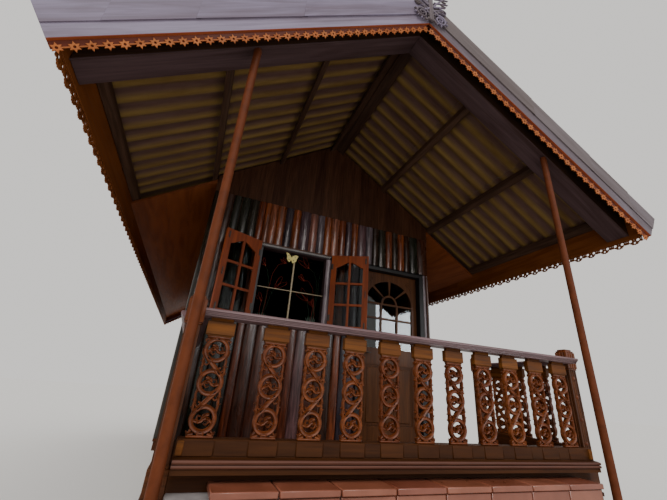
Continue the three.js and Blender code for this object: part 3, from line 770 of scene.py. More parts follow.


# Log walls and gables


# Tones of the half logs from left to right, on the log material's scale of 0 to 1; the palest ones, 0.93 and
# above, are painted highlight standing for the gloss on dark logs.
LOG_TONES = {
    "front_wall_top": (0.46, 0.52, 0.43, 0.88, 0.40, 0.79, 0.64, 0.93, 0.45, 0.55, 0.33, 0.82, 0.40, 0.74,
                       0.94, 0.10, 0.03, 0.36, 0.08, 0.40, 0.14, 0.00, 0.18),
    "front_wall_under_window": (0.20, 0.24, 0.31, 0.20, 0.30, 0.72, 0.26),
    "front_wall_left": (0.05, 0.16, 0.00, 0.01, 0.04, 0.31),
    "front_wall_right": (0.97, 0.20),
}
# Where the half logs meet between the ends of a wall whose widths are known
LOG_JOINTS = {
    "front_wall_left": (-1.505, -1.374, -1.267, -1.150, -1.035),
    "front_wall_top": (-0.865, -0.775, -0.660, -0.550, -0.441, -0.300, -0.188, -0.085, 0.024, 0.141, 0.242,
                       0.338, 0.441, 0.574, 0.680, 0.778, 0.904, 1.015, 1.114, 1.221, 1.319, 1.460),
}
MIXED_TONES = (0.05, 0.15, 0.20, 0.30, 0.36, 0.45, 0.50, 0.60, 0.75, 0.80, 0.90)
FEWEST_LOGS = {"front_wall_right": 2}


def log_edges(node, length):
    """Where the half logs of a wall meet: at known places, or in unequal widths."""
    if node in LOG_JOINTS:
        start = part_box(node)[0].x
        return [0.0, *[joint - start for joint in LOG_JOINTS[node]], length]
    count = max(FEWEST_LOGS.get(node, 1), round(length / LOG_WIDTH))
    shares = [1.0 + 0.2 * math.sin(2.4 * index + 1.0) for index in range(count)]
    edges = [0.0]
    for share in shares:
        edges.append(edges[-1] + length * share / sum(shares))
    return edges


def half_log(shape, width, depth, height, place, tone, seed):
    """Half-round slab from the sawn face at y = 0 to its crest at y = depth, upright along z."""
    around = 8
    rings = max(3, round(height / 0.22))
    points = []
    for ring in range(rings + 1):
        z = height * ring / rings
        wander = 0.10 * width * noise.noise(Vector((seed, 0.0, z * 0.9)))
        girth = 1.0 + 0.10 * noise.noise(Vector((seed, 5.0, z * 1.3)))
        end = 0.80 if ring in (0, rings) else 1.0
        for step in range(around + 1):
            turn = math.pi * step / around
            rough = 1.0 + 0.07 * noise.noise(Vector((seed, 9.0 + step * 0.8, z * 2.2)))
            x = 0.5 * width - 0.5 * width * math.cos(turn) * min(1.0, girth) + wander * math.sin(turn)
            points.append((x, depth * min(1.0, math.sin(turn) * girth * rough * end * 0.97), z))
    faces = []
    row = around + 1
    for ring in range(rings):
        for step in range(around):
            a = ring * row + step
            faces.append([a, a + 1, a + row + 1, a + row])
        a = ring * row
        faces.append([a, a + row, a + row + around, a + around])
    faces.append(list(range(row)))
    faces.append([rings * row + step for step in range(row)])
    shape.add(points, faces, place, tone, 2)


def make_log_wall(node, facing, top):
    """Log slabs on the outer face of a core that is lined with planks inside."""
    place, length = on_wall(node, facing)
    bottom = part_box(node)[0].z
    shape = Shape()
    inner = -WALL_THICKNESS
    core = -LOG_RELIEF + 0.001
    block(shape, (0.0, inner + 0.014, bottom), (length, core, top), place, 0.3, along=2, slot=1)
    edges = log_edges(node, length)
    tones = LOG_TONES.get(node)
    for index, (start, end) in enumerate(zip(edges, edges[1:])):
        slab = moved(start, -LOG_RELIEF, bottom, place)
        tone = tones[index % len(tones)] if tones else random.choice(MIXED_TONES)
        half_log(shape, end - start, LOG_RELIEF, top - bottom, slab, tone, random.uniform(0.0, 400.0))
    planks = max(1, round(length / LINING_WIDTH))
    for index in range(planks):
        left = index * length / planks + 0.001
        right = left + length / planks - 0.002
        block(shape, (left, inner, bottom), (right, inner + LINING_THICKNESS, top), place, along=2, slot=1)
    make_piece(node + "_logs", shape, [LOGS, PLANKS], [node])


def make_walls():
    for part in ("left", "under_window", "middle", "right", "top"):
        node = "front_wall_" + part
        make_log_wall(node, "front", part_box(node)[1].z)
    make_log_wall("back_wall", "back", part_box("back_wall")[1].z)
    for side, label in SIDES:
        node = label + "_wall"
        node_low, node_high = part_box(node)
        outer = node_low.x if side < 0 else node_high.x
        make_log_wall(node, label, roof_height(outer, PURLIN_DEPTH + 0.003))


def make_gable_panel(node):
    """Upright boards up to the roof sheets, every second one lapping over its neighbours."""
    (x0, y0, z0), (x1, y1, _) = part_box(node)
    shape = Shape()
    width = (x1 - x0) / GABLE_BOARDS
    for index in range(GABLE_BOARDS):
        left = x0 + index * width
        right = left + width
        gap = 0.002 if index % 2 == 0 else -0.003
        outline = [(left + gap, z0), (right - gap, z0), (right - gap, roof_height(right, SHEET_DEPTH))]
        if left < 0.0 < right:
            outline.append((0.0, roof_height(0.0, SHEET_DEPTH)))
        outline.append((left + gap, roof_height(left, SHEET_DEPTH)))
        inset = 0.006 * (index % 2)
        pierced(shape, outline, y0 + inset, y1 - inset, along=2)
    make_piece(node + "_boards", shape, [GABLE], [node], bevel=0.002)


# Roof


def reach_of(node):
    """How near to the middle a node comes, and how far out."""
    node_low, node_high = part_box(node)
    return sorted((abs(node_low.x), abs(node_high.x)))


def corrugated_sheet(shape, place, x0, x1, y0, y1):
    """One sheet: its upper end is tucked under the sheet above."""
    tuck = 0.0 if x0 < 0.1 else 0.007
    half = 0.003
    step = CORRUGATION_PITCH / 10.0
    count = max(2, round((y1 - y0) / step))
    points = []
    tones = []
    shade = random.uniform(-0.08, 0.08)
    for column in range(count + 1):
        y = y0 + (y1 - y0) * column / count
        phase = 2.0 * math.pi * y / CORRUGATION_PITCH
        wave = WAVE_HEIGHT * (math.cos(phase) - 0.18 * math.cos(2.0 * phase))
        for x, drop in ((x0, tuck), (x1, 0.0)):
            middle = -0.0175 + wave - drop
            points += [(x, y, middle + half), (x, y, middle - half)]
            # The tone follows the wave: painted light on the ridges seen from below and painted shade in the
            # hollows between them.
            tones += [0.5 - 0.45 * wave / WAVE_HEIGHT + shade] * 2
    faces = []
    for column in range(count):
        a = column * 4
        b = a + 4
        faces += [[a, a + 2, b + 2, b], [a + 1, b + 1, b + 3, a + 3]]
        faces += [[a, b, b + 1, a + 1], [a + 2, a + 3, b + 3, b + 2]]
    faces += [[0, 1, 3, 2], [count * 4, count * 4 + 2, count * 4 + 3, count * 4 + 1]]
    shape.add(points, faces, place, tones)


def make_roof_sheets(label, side):
    """Rows of sheets that lap at the purlins."""
    node = label + "_roof_sheet"
    (_, y0, _), (_, y1, _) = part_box(node)
    eave = reach_of(node)[1]
    shape = Shape()
    bay = 3.0 * CORRUGATION_PITCH
    for upper, lower in SHEET_ROWS:
        for column in range(math.ceil((y1 - y0) / bay)):
            start = y0 + column * bay
            corrugated_sheet(shape, on_roof(side), upper, lower or eave, start, min(y1, start + bay + 0.03))
    make_piece(label + "_corrugated_sheets", shape, [SHEET], [node], smooth_angle=50.0)


def make_ridge_cap():
    """Lapped angle pieces with a rounded crown."""
    (_, y0, _), (_, y1, _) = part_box("ridge_cap")
    crown = 0.030
    wing = 0.15
    under, over = -0.0015, -0.007
    outline = [(x, roof_height(wing if x else 0.0, under)) for x in (-wing, 0.0, wing)]
    outline.append((wing, roof_height(wing, over)))
    for step in range(8, -1, -1):
        x = -crown + 2.0 * crown * step / 8.0
        outline.append((x, roof_height(x, over) - 0.004 * math.cos(0.5 * math.pi * x / crown)))
    outline.append((-wing, roof_height(wing, over)))
    shape = Shape()
    length = (y1 - y0) / RIDGE_CAP_PIECES
    for index in range(RIDGE_CAP_PIECES):
        start = y0 + index * length
        pierced(shape, outline, start, start + length - 0.003, along=1)
    make_piece("ridge_cap_pieces", shape, [SHEET], ["ridge_cap"])


def timber_under_sheets(shape, side, node, x0, x1):
    """Timber as long as its node, tight under the roof sheets."""
    (_, y0, _), (_, y1, _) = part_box(node)
    block(shape, (x0, y0, -PURLIN_DEPTH), (x1, y1, -SHEET_DEPTH - 0.001), on_roof(side), along=1,
          chamfer=0.006)


def make_ridge_beam():
    """Two boards meeting under the ridge."""
    shape = Shape()
    for side, _ in SIDES:
        timber_under_sheets(shape, side, "ridge_beam", RIDGE_GAP, 0.110)
    make_piece("ridge_boards", shape, [DARK], ["ridge_beam"])


def make_roof_frame(label, side):
    """Purlins, and the boxed front rafter with a thin bead along its lower front edge."""
    node = label + "_roof_frame"
    shape = Shape()
    for x0, x1 in PURLIN_LINES:
        timber_under_sheets(shape, side, node, x0, x1)
    place = on_roof(side)
    start = 0.001
    end = PURLIN_LINES[2][1]
    top = -PURLIN_DEPTH + 0.002
    bottom = -RAFTER_DEPTH
    for y0, y1, z0, z1, tone, chamfer, slot in (
            (RAFTER_FRONT, RAFTER_FRONT + 0.026, bottom + 0.004, top, 0.2, 0.004, 0),
            (RAFTER_BACK - 0.026, RAFTER_BACK, bottom + 0.02, top, 0.8, 0.004, 0),
            (RAFTER_FRONT + 0.014, RAFTER_BACK - 0.01, bottom + 0.002, bottom + 0.024, 0.6, 0.003, 1)):
        block(shape, (start, y0, z0), (end, y1, z1), place, tone, slot=slot, chamfer=chamfer)
    bead = circle((RAFTER_FRONT + 0.006, bottom + 0.006), 0.006, 10)
    moulding(shape, bead, start, end, place, slot=2)
    make_piece(label + "_roof_timbers", shape, [DARK, BAND, BAND], [node])


def verge_outline(top, bottom, start=RIDGE_GAP, end=None):
    """Board along the verge between two depths; without an end it is cut square to the slope at the tip."""
    low_end, high_end = [end or VERGE_TIP_X - (under + 0.012) * SLOPE_SINE for under in (bottom, top)]
    return [(start, -bottom), (low_end, -bottom), (high_end, -top), (start, -top)]


def star(centre):
    """Star with one tip down, one up and two to each side."""
    outline = []
    for step in range(12):
        reach = STAR_RADIUS * (1.0 if step % 2 == 0 else 0.52)
        turn = math.radians(30.0 + 30.0 * step)
        outline.append((centre + reach * math.cos(turn), reach * math.sin(turn)))
    return outline


def make_stars(name, side, face, out):
    """Row of pierced stars joined by a thin line, over a dark red backing."""
    shape = Shape()
    place = on_star_band(side, face, out)
    pitch = (LAST_STAR - FIRST_STAR) / (STAR_COUNT - 1)
    arm = 0.45 * STAR_RADIUS
    for index in range(STAR_COUNT):
        centre = FIRST_STAR + index * pitch
        pierced(shape, star(centre), 0.0, 0.008, place, holes=[circle((centre, 0.0), STAR_HOLE, 10)])
        if index:
            line = rectangle(centre - pitch + arm, centre - arm, -0.0035, 0.0035)
            pierced(shape, line, 0.001, 0.007, place)
    backing = rectangle(FIRST_STAR - STAR_RADIUS, LAST_STAR + STAR_RADIUS, -0.002, 0.047)
    pierced(shape, backing, 0.009, 0.014, place, slot=1)
    make_piece(name + "_stars", shape, [FRET, MAROON], ())


def make_verge(label, side, end, out):
    """Verge caps in lapped lengths over a lower board, with a pierced star band hung behind them."""
    name = f"{label}_{end}_verge"
    node = f"{label}_{end}_barge"
    node_low, node_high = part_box(node)
    shape = Shape()
    place = on_roof(side)
    face = node_low.y if out < 0 else node_high.y
    back = face - out * 0.038
    # The left verge gets the lighter, bluer tones of the trim and the right one the darker, browner tones:
    # painted sky sheen on the left and painted shade on the right of the same trim.
    shade = 0.65 if side < 0 else 0.0
    laps = zip([RIDGE_GAP, *CAP_LAPS], [*[x + 0.03 for x in CAP_LAPS], None])
    for index, (start, stop) in enumerate(laps):
        outline = verge_outline(-0.012 + 0.0045 * index, VERGE_LAP, start, stop)
        pierced(shape, outline, face - out * 0.002 * index, back, place, shade + 0.05 * index)
    lower_face = face - out * 0.014
    lower_back = lower_face - out * 0.020
    board = back - out * 0.024
    for top, bottom, y0, y1, tone, slot in (
            (VERGE_LAP - 0.02, VERGE_BOTTOM - 0.003, lower_face, lower_back, shade + 0.3, 0),
            (VERGE_BOTTOM - 0.003, VERGE_BOTTOM, lower_face, lower_back, None, 1),
            (0.105, 0.145, back + out * 0.001, back - out * 0.037, None, 1),
            (0.105, 0.240, board, board - out * 0.010, None, 2)):
        pierced(shape, verge_outline(top, bottom), y0, y1, place, tone, slot=slot)
    make_piece(name, shape, [TRIM, REDDISH, MAROON], [node], bevel=0.002)
    make_stars(name, side, face, out)


def eave_outline(y, top):
    """One repeat of the pierced eave board: a petalled lobe between two small waves."""
    outline = [(y, top), (y, top - 0.042), (y + 0.010, top - 0.046), (y + 0.022, top - 0.042)]
    petals = 5
    steps = 6 * petals
    for step in range(steps + 1):
        turn = math.radians(196.0 + 148.0 * step / steps)
        reach = 0.0335 + 0.0055 * abs(math.sin(math.pi * petals * step / steps))
        outline.append((y + 0.075 + 1.25 * reach * math.cos(turn), top - 0.030 + reach * math.sin(turn)))
    end = y + EAVE_PITCH
    return outline + [(y + 0.128, top - 0.042), (y + 0.140, top - 0.046), (end, top - 0.042), (end, top)]


# Holes of one repeat: place along it, depth below its top, radius, points and flattening
EAVE_HOLES = (
    (0.040, 0.022, 0.0165, 12, 0.85), (0.110, 0.022, 0.0165, 12, 0.85), (0.075, 0.014, 0.0050, 6, 1.0),
    (0.075, 0.046, 0.0110, 10, 1.0), (0.010, 0.016, 0.0055, 8, 1.0), (0.140, 0.016, 0.0055, 8, 1.0),
)


def make_fascia(label, side):
    """Eave board in lengths, with the pierced board below it."""
    node = label + "_eave_fascia"
    (_, y0, _), (_, y1, _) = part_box(node)
    inner, outer = reach_of(node)
    top = roof_height(outer, SHEET_DEPTH)
    shape = Shape()
    length = (y1 - y0) / FASCIA_LENGTHS
    for index in range(FASCIA_LENGTHS):
        y = y0 + index * length
        block(shape, (side * inner, y + 0.001, FASCIA_BOTTOM), (side * outer, y + length - 0.001, top),
              tone=0.4 + 0.1 * index, along=1)
    count = round((y1 - y0) / EAVE_PITCH)
    scale = (y1 - y0) / (count * EAVE_PITCH)
    for index in range(count):
        start = index * EAVE_PITCH
        loops = [eave_outline(start, FASCIA_BOTTOM)]
        for along, depth, radius, steps, flatten in EAVE_HOLES:
            loops.append(circle((start + along, FASCIA_BOTTOM - depth), radius, steps, flatten=flatten))
        outline, *holes = [[(y0 + x * scale, z) for x, z in loop] for loop in loops]
        near, far = side * (inner + 0.006), side * (inner + 0.016)
        pierced(shape, outline, near, far, x_and_y_swapped, 0.6, holes=holes)
    make_piece(label + "_eave_board", shape, [EAVE], [node])


def make_soffit(label, side):
    """Smooth board under the purlins, in one panel from end to end."""
    node = label + "_soffit"
    (_, y0, _), (_, y1, _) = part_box(node)
    inner, outer = reach_of(node)
    shape = Shape()
    block(shape, (inner, y0, -SOFFIT_DEPTH), (outer, y1, -PURLIN_DEPTH - 0.001), on_roof(side), along=1)
    make_piece(label + "_soffit_boards", shape, [SOFFIT], [node])


def make_gable_ornament():
    """Mirrored volutes with crossed stems and leaf sprays."""
    (_, y0, _), (_, y1, _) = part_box("gable_ornament")
    middle = 0.5 * (y0 + y1)
    depth = (y1 - y0) * 0.96
    volute = (0.104, -0.265)
    radius = 0.068
    shape = Shape()
    for side, _ in SIDES:
        place = moved(z=RIDGE_TOP, sign_x=side)

        def strip(path, width, share=1.0, taper=1.0):
            ribbon(shape, path, width, depth * share, middle, place, taper=taper)

        strip(spiral(volute, radius, 0.012, 110.0, -640.0, 48), 0.021, taper=0.6)
        strip([(0.085, -0.205), (0.030, -0.165), (-0.040, -0.080), (-0.095, 0.010), (-0.150, 0.085),
               (-0.185, 0.130)], 0.024, taper=0.45)
        strip([(0.060, -0.340), (0.020, -0.290), (-0.030, -0.220), (-0.090, -0.150), (-0.150, -0.105)],
              0.020, 0.9, 0.5)
        strip(spiral((0.150, -0.115), 0.036, 0.008, 230.0, 430.0, 26), 0.015, taper=0.6)
        for x, z, reach in ((0.020, -0.140, 0.120), (0.030, -0.070, 0.150), (0.045, 0.000, 0.170),
                            (0.055, 0.070, 0.165), (0.040, 0.125, 0.110)):
            strip([(x, z - 0.03), (x + 0.5 * reach, z + 0.010), (x + reach, z + 0.044)], 0.024, 0.8, 0.2)
            strip([(x + 0.45 * reach, z + 0.006), (x + 0.60 * reach, z - 0.014),
                   (x + 0.85 * reach, z - 0.010)], 0.016, 0.7, 0.3)
        for turn in range(8):
            angle = math.radians(140.0 + 34.0 * turn)
            thorn = [(volute[0] + reach * math.cos(angle), volute[1] + reach * math.sin(angle))
                     for reach in (radius, radius + 0.022)]
            strip(thorn, 0.016, 0.8, 0.4)
    half = 0.5 * depth
    block(shape, (-0.024, middle - half, RIDGE_TOP - 0.320), (0.024, middle + half, RIDGE_TOP + 0.105),
          along=2)
    make_piece("gable_carving", shape, [TRIM], ["gable_ornament"], smooth_angle=60.0)


# Veranda


def ring_stems():
    """Two winding arms and a short curl in a ring, each with a hooked leaf: path, width and taper."""
    arm = ((0.000, 0.0), (0.012, 8.0), (0.024, 26.0), (0.036, 44.0), (0.052, 56.0))
    leaf = ((0.022, 26.0), (0.032, 60.0), (0.031, 90.0), (0.019, 106.0))
    stems = []
    for start, share in ((-62.0, 1.0), (146.0, 1.0), (54.0, 0.66)):
        for polar, width, taper in ((arm, 0.0160, 0.85), (leaf, 0.0125, 0.6)):
            turns = [(share * reach, math.radians(start + swing / share)) for reach, swing in polar]
            path = [(reach * math.cos(turn), reach * math.sin(turn)) for reach, turn in turns]
            stems.append((path, width, taper))
    return stems


def baluster(shape, place):
    """Carved openwork panel: three rings tied by a winding stem, with leafy curls in each ring."""
    y0, y1 = 0.074, 0.106
    tone = random.random()

    def strip(path, width, share=1.0, taper=1.0, sign=1.0, z=0.0, closed=False):
        path = [(sign * x, z + rise) for x, rise in path]
        ribbon(shape, path, width, 0.031 * share, 0.5 * (y0 + y1), place, closed, taper, tone, HOLLOWED_STRIP)

    block(shape, (-0.062, y0 + 0.002, 1.655), (0.062, y1 - 0.002, 1.668), place, tone)
    block(shape, (-0.066, y0, BASE_RAIL_TOP + 0.0005), (0.066, y1, BASE_RAIL_TOP + 0.012), place, tone)
    for z, sign in zip(BALUSTER_RINGS, (1.0, 1.0, -1.0)):
        strip(circle((0.0, z), RING_RADIUS, 26), 0.0235, closed=True)
        for path, width, taper in ring_stems():
            strip(path, width, 0.9, taper, sign, z)
    for upper, lower, side in zip(BALUSTER_RINGS, BALUSTER_RINGS[1:], (-1.0, 1.0)):
        turn = math.asin(2.0 * RING_RADIUS / (upper - lower))
        across = RING_RADIUS * math.sin(turn) * 0.98
        rise = RING_RADIUS * math.cos(turn)
        z = 0.5 * (upper + lower)
        strip([(side * across, upper - rise), (0.0, z), (-side * across, lower + rise)], 0.025)
        for sign in (-1.0, 1.0):
            lift = sign * side * 0.010
            for near, far in ((upper - 0.028, upper - 0.056), (lower + 0.028, lower + 0.056)):
                strip([(0.053, near), (0.060, far), (0.057, z + lift)], 0.0135, 0.85, sign=sign)
            strip(spiral((0.038, 0.0), 0.015, 0.007, 10.0, -300.0, 12), 0.011, 0.8, 0.8, sign, z + 1.6 * lift)
            strip([(0.050, 0.006), (0.063, 0.014), (0.073, 0.008)], 0.013, 0.7, 0.3, sign, z + lift)
            strip([(0.054, -0.022), (0.065, -0.028), (0.073, -0.022)], 0.012, 0.7, 0.3, sign, z + lift)
    for sign in (-1.0, 1.0):
        for z, lift in ((1.644, 0.008), (BASE_RAIL_TOP + 0.020, -0.004)):
            strip([(0.034, 0.0), (0.054, lift), (0.066, 0.0), (0.060, -0.010)], 0.015, 0.8, 0.6, sign, z)
        strip([(0.058, 1.560), (0.068, 1.575), (0.072, 1.600)], 0.011, 0.7, 0.4, sign)
        strip([(0.046, 1.214), (0.060, 1.200), (0.070, 1.208)], 0.013, 0.7, 0.4, sign)
    strip([(0.0, BALUSTER_RINGS[2] - RING_RADIUS), (0.0, BASE_RAIL_TOP + 0.008)], 0.040)
    strip([(0.0, BALUSTER_RINGS[0] + RING_RADIUS - 0.004), (0.0, 1.660)], 0.040)


def baluster_block(shape, place):
    """Plain block between a carved panel and the handrail, with a neck below and above."""
    half = 0.5 * BLOCK_WIDTH
    block(shape, (-half, 0.070, 1.674), (half, 0.108, 1.746), place, chamfer=0.0025)
    for inset, z0, z1 in ((0.010, 1.667, 1.675), (0.014, 1.745, HANDRAIL_BOTTOM)):
        block(shape, (-half + inset, 0.076, z0), (half - inset, 0.104, z1), place, 0.0, chamfer=0.001)


def baluster_row(centres, place=as_is):
    """Carved panels and their blocks at the given centres along a rail, as two shapes."""
    panels = Shape()
    blocks = Shape()
    for centre in centres:
        baluster(panels, moved(centre, then=place))
        baluster_block(blocks, moved(centre, then=place))
    return panels, blocks


HANDRAIL_PROFILE = [
    (0.010, 1.797), (0.013, 1.802), (0.018, 1.804), (0.162, 1.804), (0.167, 1.802), (0.170, 1.797),
    (0.170, 1.789), (0.163, 1.785), (0.163, 1.781), (0.157, 1.779), (0.157, 1.774), (0.150, 1.772),
    (0.150, 1.765), (0.030, 1.765), (0.030, 1.772), (0.023, 1.774), (0.023, 1.779), (0.017, 1.781),
    (0.017, 1.785), (0.010, 1.789),
]
BASE_RAIL_PROFILE = [
    (0.160, DECK_TOP), (0.160, BASE_RAIL_TOP - 0.004), (0.156, BASE_RAIL_TOP), (0.060, BASE_RAIL_TOP),
    (0.056, BASE_RAIL_TOP - 0.004), (0.056, 1.104), (0.014, 1.100), (0.014, 1.062), (0.012, 1.060),
    (0.012, 1.037), (0.100, 1.035), (0.100, DECK_TOP),
]
SIDE_BEAM_PROFILE = [
    (0.050, DECK_TOP), (0.050, 1.172), (0.056, BASE_RAIL_TOP), (0.124, BASE_RAIL_TOP), (0.130, 1.172),
    (0.130, 1.110), (0.124, 1.106), (0.130, 1.100), (0.130, DECK_TOP),
]
BASE_BEADS = ((1.0815, 1.0990), (1.0630, 1.0790))


def make_base_rail(centres):
    """Moulded base rail with two beads, and a board under each baluster and each gap."""
    (x0, _, _), (x1, _, _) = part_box("front_base_rail")
    shape = Shape()
    moulding(shape, BASE_RAIL_PROFILE, x0, x1, tone=0.4)
    for bottom, top in BASE_BEADS:
        bead = [(0.016, bottom), (0.003, bottom + 0.001), (0.000, 0.5 * (bottom + top)), (0.003, top - 0.001),
                (0.016, top)]
        moulding(shape, bead, x0, x1, tone=0.5, slot=2)
    for centre in centres:
        block(shape, (centre - 0.075, 0.050, 1.106), (centre + 0.075, 0.060, BASE_RAIL_TOP - 0.001), tone=0.6)
    for left, right in zip(centres, centres[1:]):
        block(shape, (left + 0.078, 0.053, 1.108), (right - 0.078, 0.060, BASE_RAIL_TOP - 0.003), tone=0.1)
    for x in (x0 + 0.004, x1 - 0.036):
        block(shape, (x, 0.046, 1.108), (x + 0.032, 0.060, BASE_RAIL_TOP - 0.006), slot=1)
    make_piece("front_base_moulding", shape, [RAIL, BLOCKS, BEADS], ["front_base_rail"])


def make_front_rail():
    """Handrail, carved panels and base rail of the front."""
    node_low, node_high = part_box("front_handrail")
    rail = Shape()
    moulding(rail, HANDRAIL_PROFILE, node_low.x, node_high.x, tone=0.6)
    make_piece("front_handrail_moulding", rail, [HANDRAIL], ["front_handrail"])
    regular = [FIRST_BALUSTER_X + index * BALUSTER_PITCH for index in range(BALUSTER_COUNT)]
    centres = [NEWEL_BALUSTER_X, *regular]
    panels, blocks = baluster_row(centres)
    make_piece("front_carved_panels", panels, [CARVED], ["front_balusters"], smooth_angle=60.0)
    make_piece("front_panel_blocks", blocks, [BLOCKS], ["front_balusters"], smooth_angle=30.0)
    make_base_rail(centres)


# Along a face of a fluted shaft: the share of its width, and 1 where it lies in a groove
FLUTES = ((0.0, 0), (0.16, 0), (0.20, 1), (0.30, 1), (0.34, 0), (0.43, 0), (0.46, 1), (0.54, 1), (0.57, 0),
          (0.66, 0), (0.70, 1), (0.80, 1), (0.84, 0))


def fluted_shaft(shape, x0, y0, width, z0, z1, groove, slot):
    """Square shaft with three grooves on each face."""
    outline = []
    corners = [(0, 0), (1, 0), (1, 1), (0, 1)]
    for index, (a, b) in enumerate(corners):
        c, d = corners[(index + 1) % 4]
        inward = (b - d, c - a)
        for share, sunk in FLUTES:
            x = x0 + width * (a + (c - a) * share) + inward[0] * groove * sunk
            y = y0 + width * (b + (d - b) * share) + inward[1] * groove * sunk
            outline.append((x, y))
    pierced(shape, outline, z0, z1, y_and_z_swapped, along=1, slot=slot)


def newel_post(shape, x0, y0, shaft_slot, head_slot):
    """Post with a fluted head over a narrower fluted shaft, a foot and a stepped cap."""
    width = NEWEL_WIDTH
    fluted_shaft(shape, x0, y0, width, 1.735, 1.860, 0.005, head_slot)
    fluted_shaft(shape, x0 + 0.010, y0 + 0.010, width - 0.020, 1.040, 1.737, 0.004, shaft_slot)
    for inset, z0, z1, slot in ((0.0, DECK_TOP, 1.045, shaft_slot), (0.005, 1.044, 1.060, shaft_slot),
                                (0.004, 1.722, 1.7345, head_slot), (0.004, 1.8595, 1.872, head_slot),
                                (0.013, 1.8715, 1.885, head_slot)):
        block(shape, (x0 + inset, y0 + inset, z0), (x0 + width - inset, y0 + width - inset, z1), slot=slot)
    for level in KNOB_LEVELS:
        knob = [(radius, level + rise) for radius, rise in
                ((0.004, -0.018), (0.016, -0.010), (0.018, 0.0), (0.016, 0.010), (0.004, 0.018))]
        turning(shape, knob, (x0 + 0.5 * width, y0 + 0.020), sides=12, slot=head_slot)


def make_newel(node):
    node_low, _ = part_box(node)
    shape = Shape()
    newel_post(shape, node_low.x, node_low.y, 0, 1)
    make_piece(node + "_carving", shape, [VARNISHED, CARVED], [node])


def make_side_rail(node, side, rail_end, entry_newel):
    """Base beam, carved panels and handrail along one side."""
    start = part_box(node)[0].y
    place = beside(side, side * (SIDE_RAIL_X - 0.090))
    rails = Shape()
    moulding(rails, HANDRAIL_PROFILE, start, rail_end, place, 0.6)
    moulding(rails, SIDE_BEAM_PROFILE, start, rail_end, place, 0.4, slot=1)
    count = math.floor((rail_end - start) / BALUSTER_PITCH)
    middle = 0.5 * (start + rail_end)
    centres = [middle + (index - 0.5 * (count - 1)) * BALUSTER_PITCH for index in range(count)]
    panels, blocks = baluster_row(centres, place)
    make_piece(node + "_blocks", blocks, [BLOCKS], [node], smooth_angle=30.0)
    if entry_newel:
        newel_post(rails, ENTRY_NEWEL_X, rail_end - 0.001, 1, 2)
    make_piece(node + "_rails", rails, [HANDRAIL, VARNISHED, CARVED], [node])
    make_piece(node + "_carving", panels, [CARVED], [node], smooth_angle=60.0)


def make_pipe_post(node):
    """Round steel post with a weld collar at each end, cut to reach the sloping rafter."""
    node_low, node_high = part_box(node)
    centre = (0.5 * (node_low.x + node_high.x), 0.5 * (node_low.y + node_high.y))
    far, near = [roof_height(abs(centre[0]) + reach, RAFTER_DEPTH + 0.001) for reach in (0.03, -0.03)]
    top = min(node_high.z, far)
    shape = Shape()
    profile = [(0.0295, 0.0), (0.030, 0.002), (0.030, 0.012), (0.0285, 0.016), (0.0285, top - 0.012),
               (0.030, top - 0.008), (0.030, top)]
    turning(shape, profile, centre, sides=48)
    turning(shape, [(0.027, top - 0.01), (0.027, 0.5 * (top + near))], centre, sides=24)
    make_piece(node + "_pipe", shape, [STEEL], [node])


# Window


def make_window_frame():
    """Casing with a natural log as its right jamb and a pale rope strip over it; on the left jamb a pale
    strip is painted highlight and a black strip is painted shade.
    """
    (x0, front, sill), (x1, back, top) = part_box("window_frame")
    shape = Shape()
    # Pale strip beside the sash on the left jamb: painted highlight.
    block(shape, (x0, front + 0.006, sill), (x0 + 0.022, back, top - 0.06), tone=0.6, along=2, slot=2)
    # Black strip inside it: painted shade of the dark window opening.
    block(shape, (x0 + 0.020, front + 0.010, sill), (x0 + 0.050, back, top - 0.06), tone=0.6, along=2, slot=3)
    block(shape, (x1 - 0.080, front + 0.030, sill), (x1, back, top - 0.06), tone=0.4, along=2)
    block(shape, (x0, front, sill), (x1, back, sill + 0.040), tone=0.5)
    block(shape, (x0, front + 0.012, top - 0.0625), (x1, back, top - 0.002), tone=0.5)
    block(shape, (x0, front + 0.002, top - 0.054), (x1, front + 0.014, top - 0.043), slot=3)
    # The black backing behind the rope strands is painted shade in the groove.
    block(shape, (x0, front + 0.006, top - 0.044), (x1, front + 0.014, top - 0.015), slot=3)
    block(shape, (x0, front, top - 0.016), (x1, front + 0.014, top), tone=0.3, slot=4)
    step = (x1 - x0 - 0.030) / ROPE_STRANDS
    for index in range(ROPE_STRANDS):
        x = x0 + 0.004 + index * step
        ribbon(shape, [(x, top - 0.042), (x + 0.012, top - 0.030), (x + 0.026, top - 0.018)], 0.0125, 0.013,
               front + 0.0068, slot=1)
    log = Shape()
    log_place = moved(x1 - 0.078, front + 0.034, sill + 0.04, sign_y=-1.0)
    half_log(log, 0.076, 0.034, top - sill - 0.105, log_place, 1.0, 71.0)
    make_piece("window_casing", shape, [BAND, PALE_AND_HIGHLIGHT, PALE_AND_HIGHLIGHT, BLACK_AND_SHADE, VARNISHED], ["window_frame"])
    make_piece("window_log_jamb", log, [LOGS], ["window_frame"])


# Winged cut-out on the upright, around its body
WING_OUTLINE = (
    (-0.086, 0.126), (-0.064, 0.123), (-0.037, 0.108), (-0.020, 0.084), (-0.012, 0.069), (-0.003, 0.069),
    (0.005, 0.079), (0.017, 0.093), (0.037, 0.104), (0.062, 0.107), (0.086, 0.098), (0.077, 0.079),
    (0.071, 0.059), (0.062, 0.048), (0.066, 0.034), (0.059, 0.017), (0.044, 0.005), (0.031, -0.003),
    (0.018, -0.011), (0.009, -0.001), (0.002, 0.012), (-0.004, 0.027), (-0.010, 0.027), (-0.015, 0.017),
    (-0.025, 0.001), (-0.034, 0.000), (-0.049, 0.012), (-0.062, 0.032), (-0.067, 0.049), (-0.062, 0.061),
    (-0.069, 0.084), (-0.077, 0.106),
)
WING_HOLES = ((-0.037, 0.032), (0.024, 0.030), (-0.043, 0.086), (0.042, 0.080))

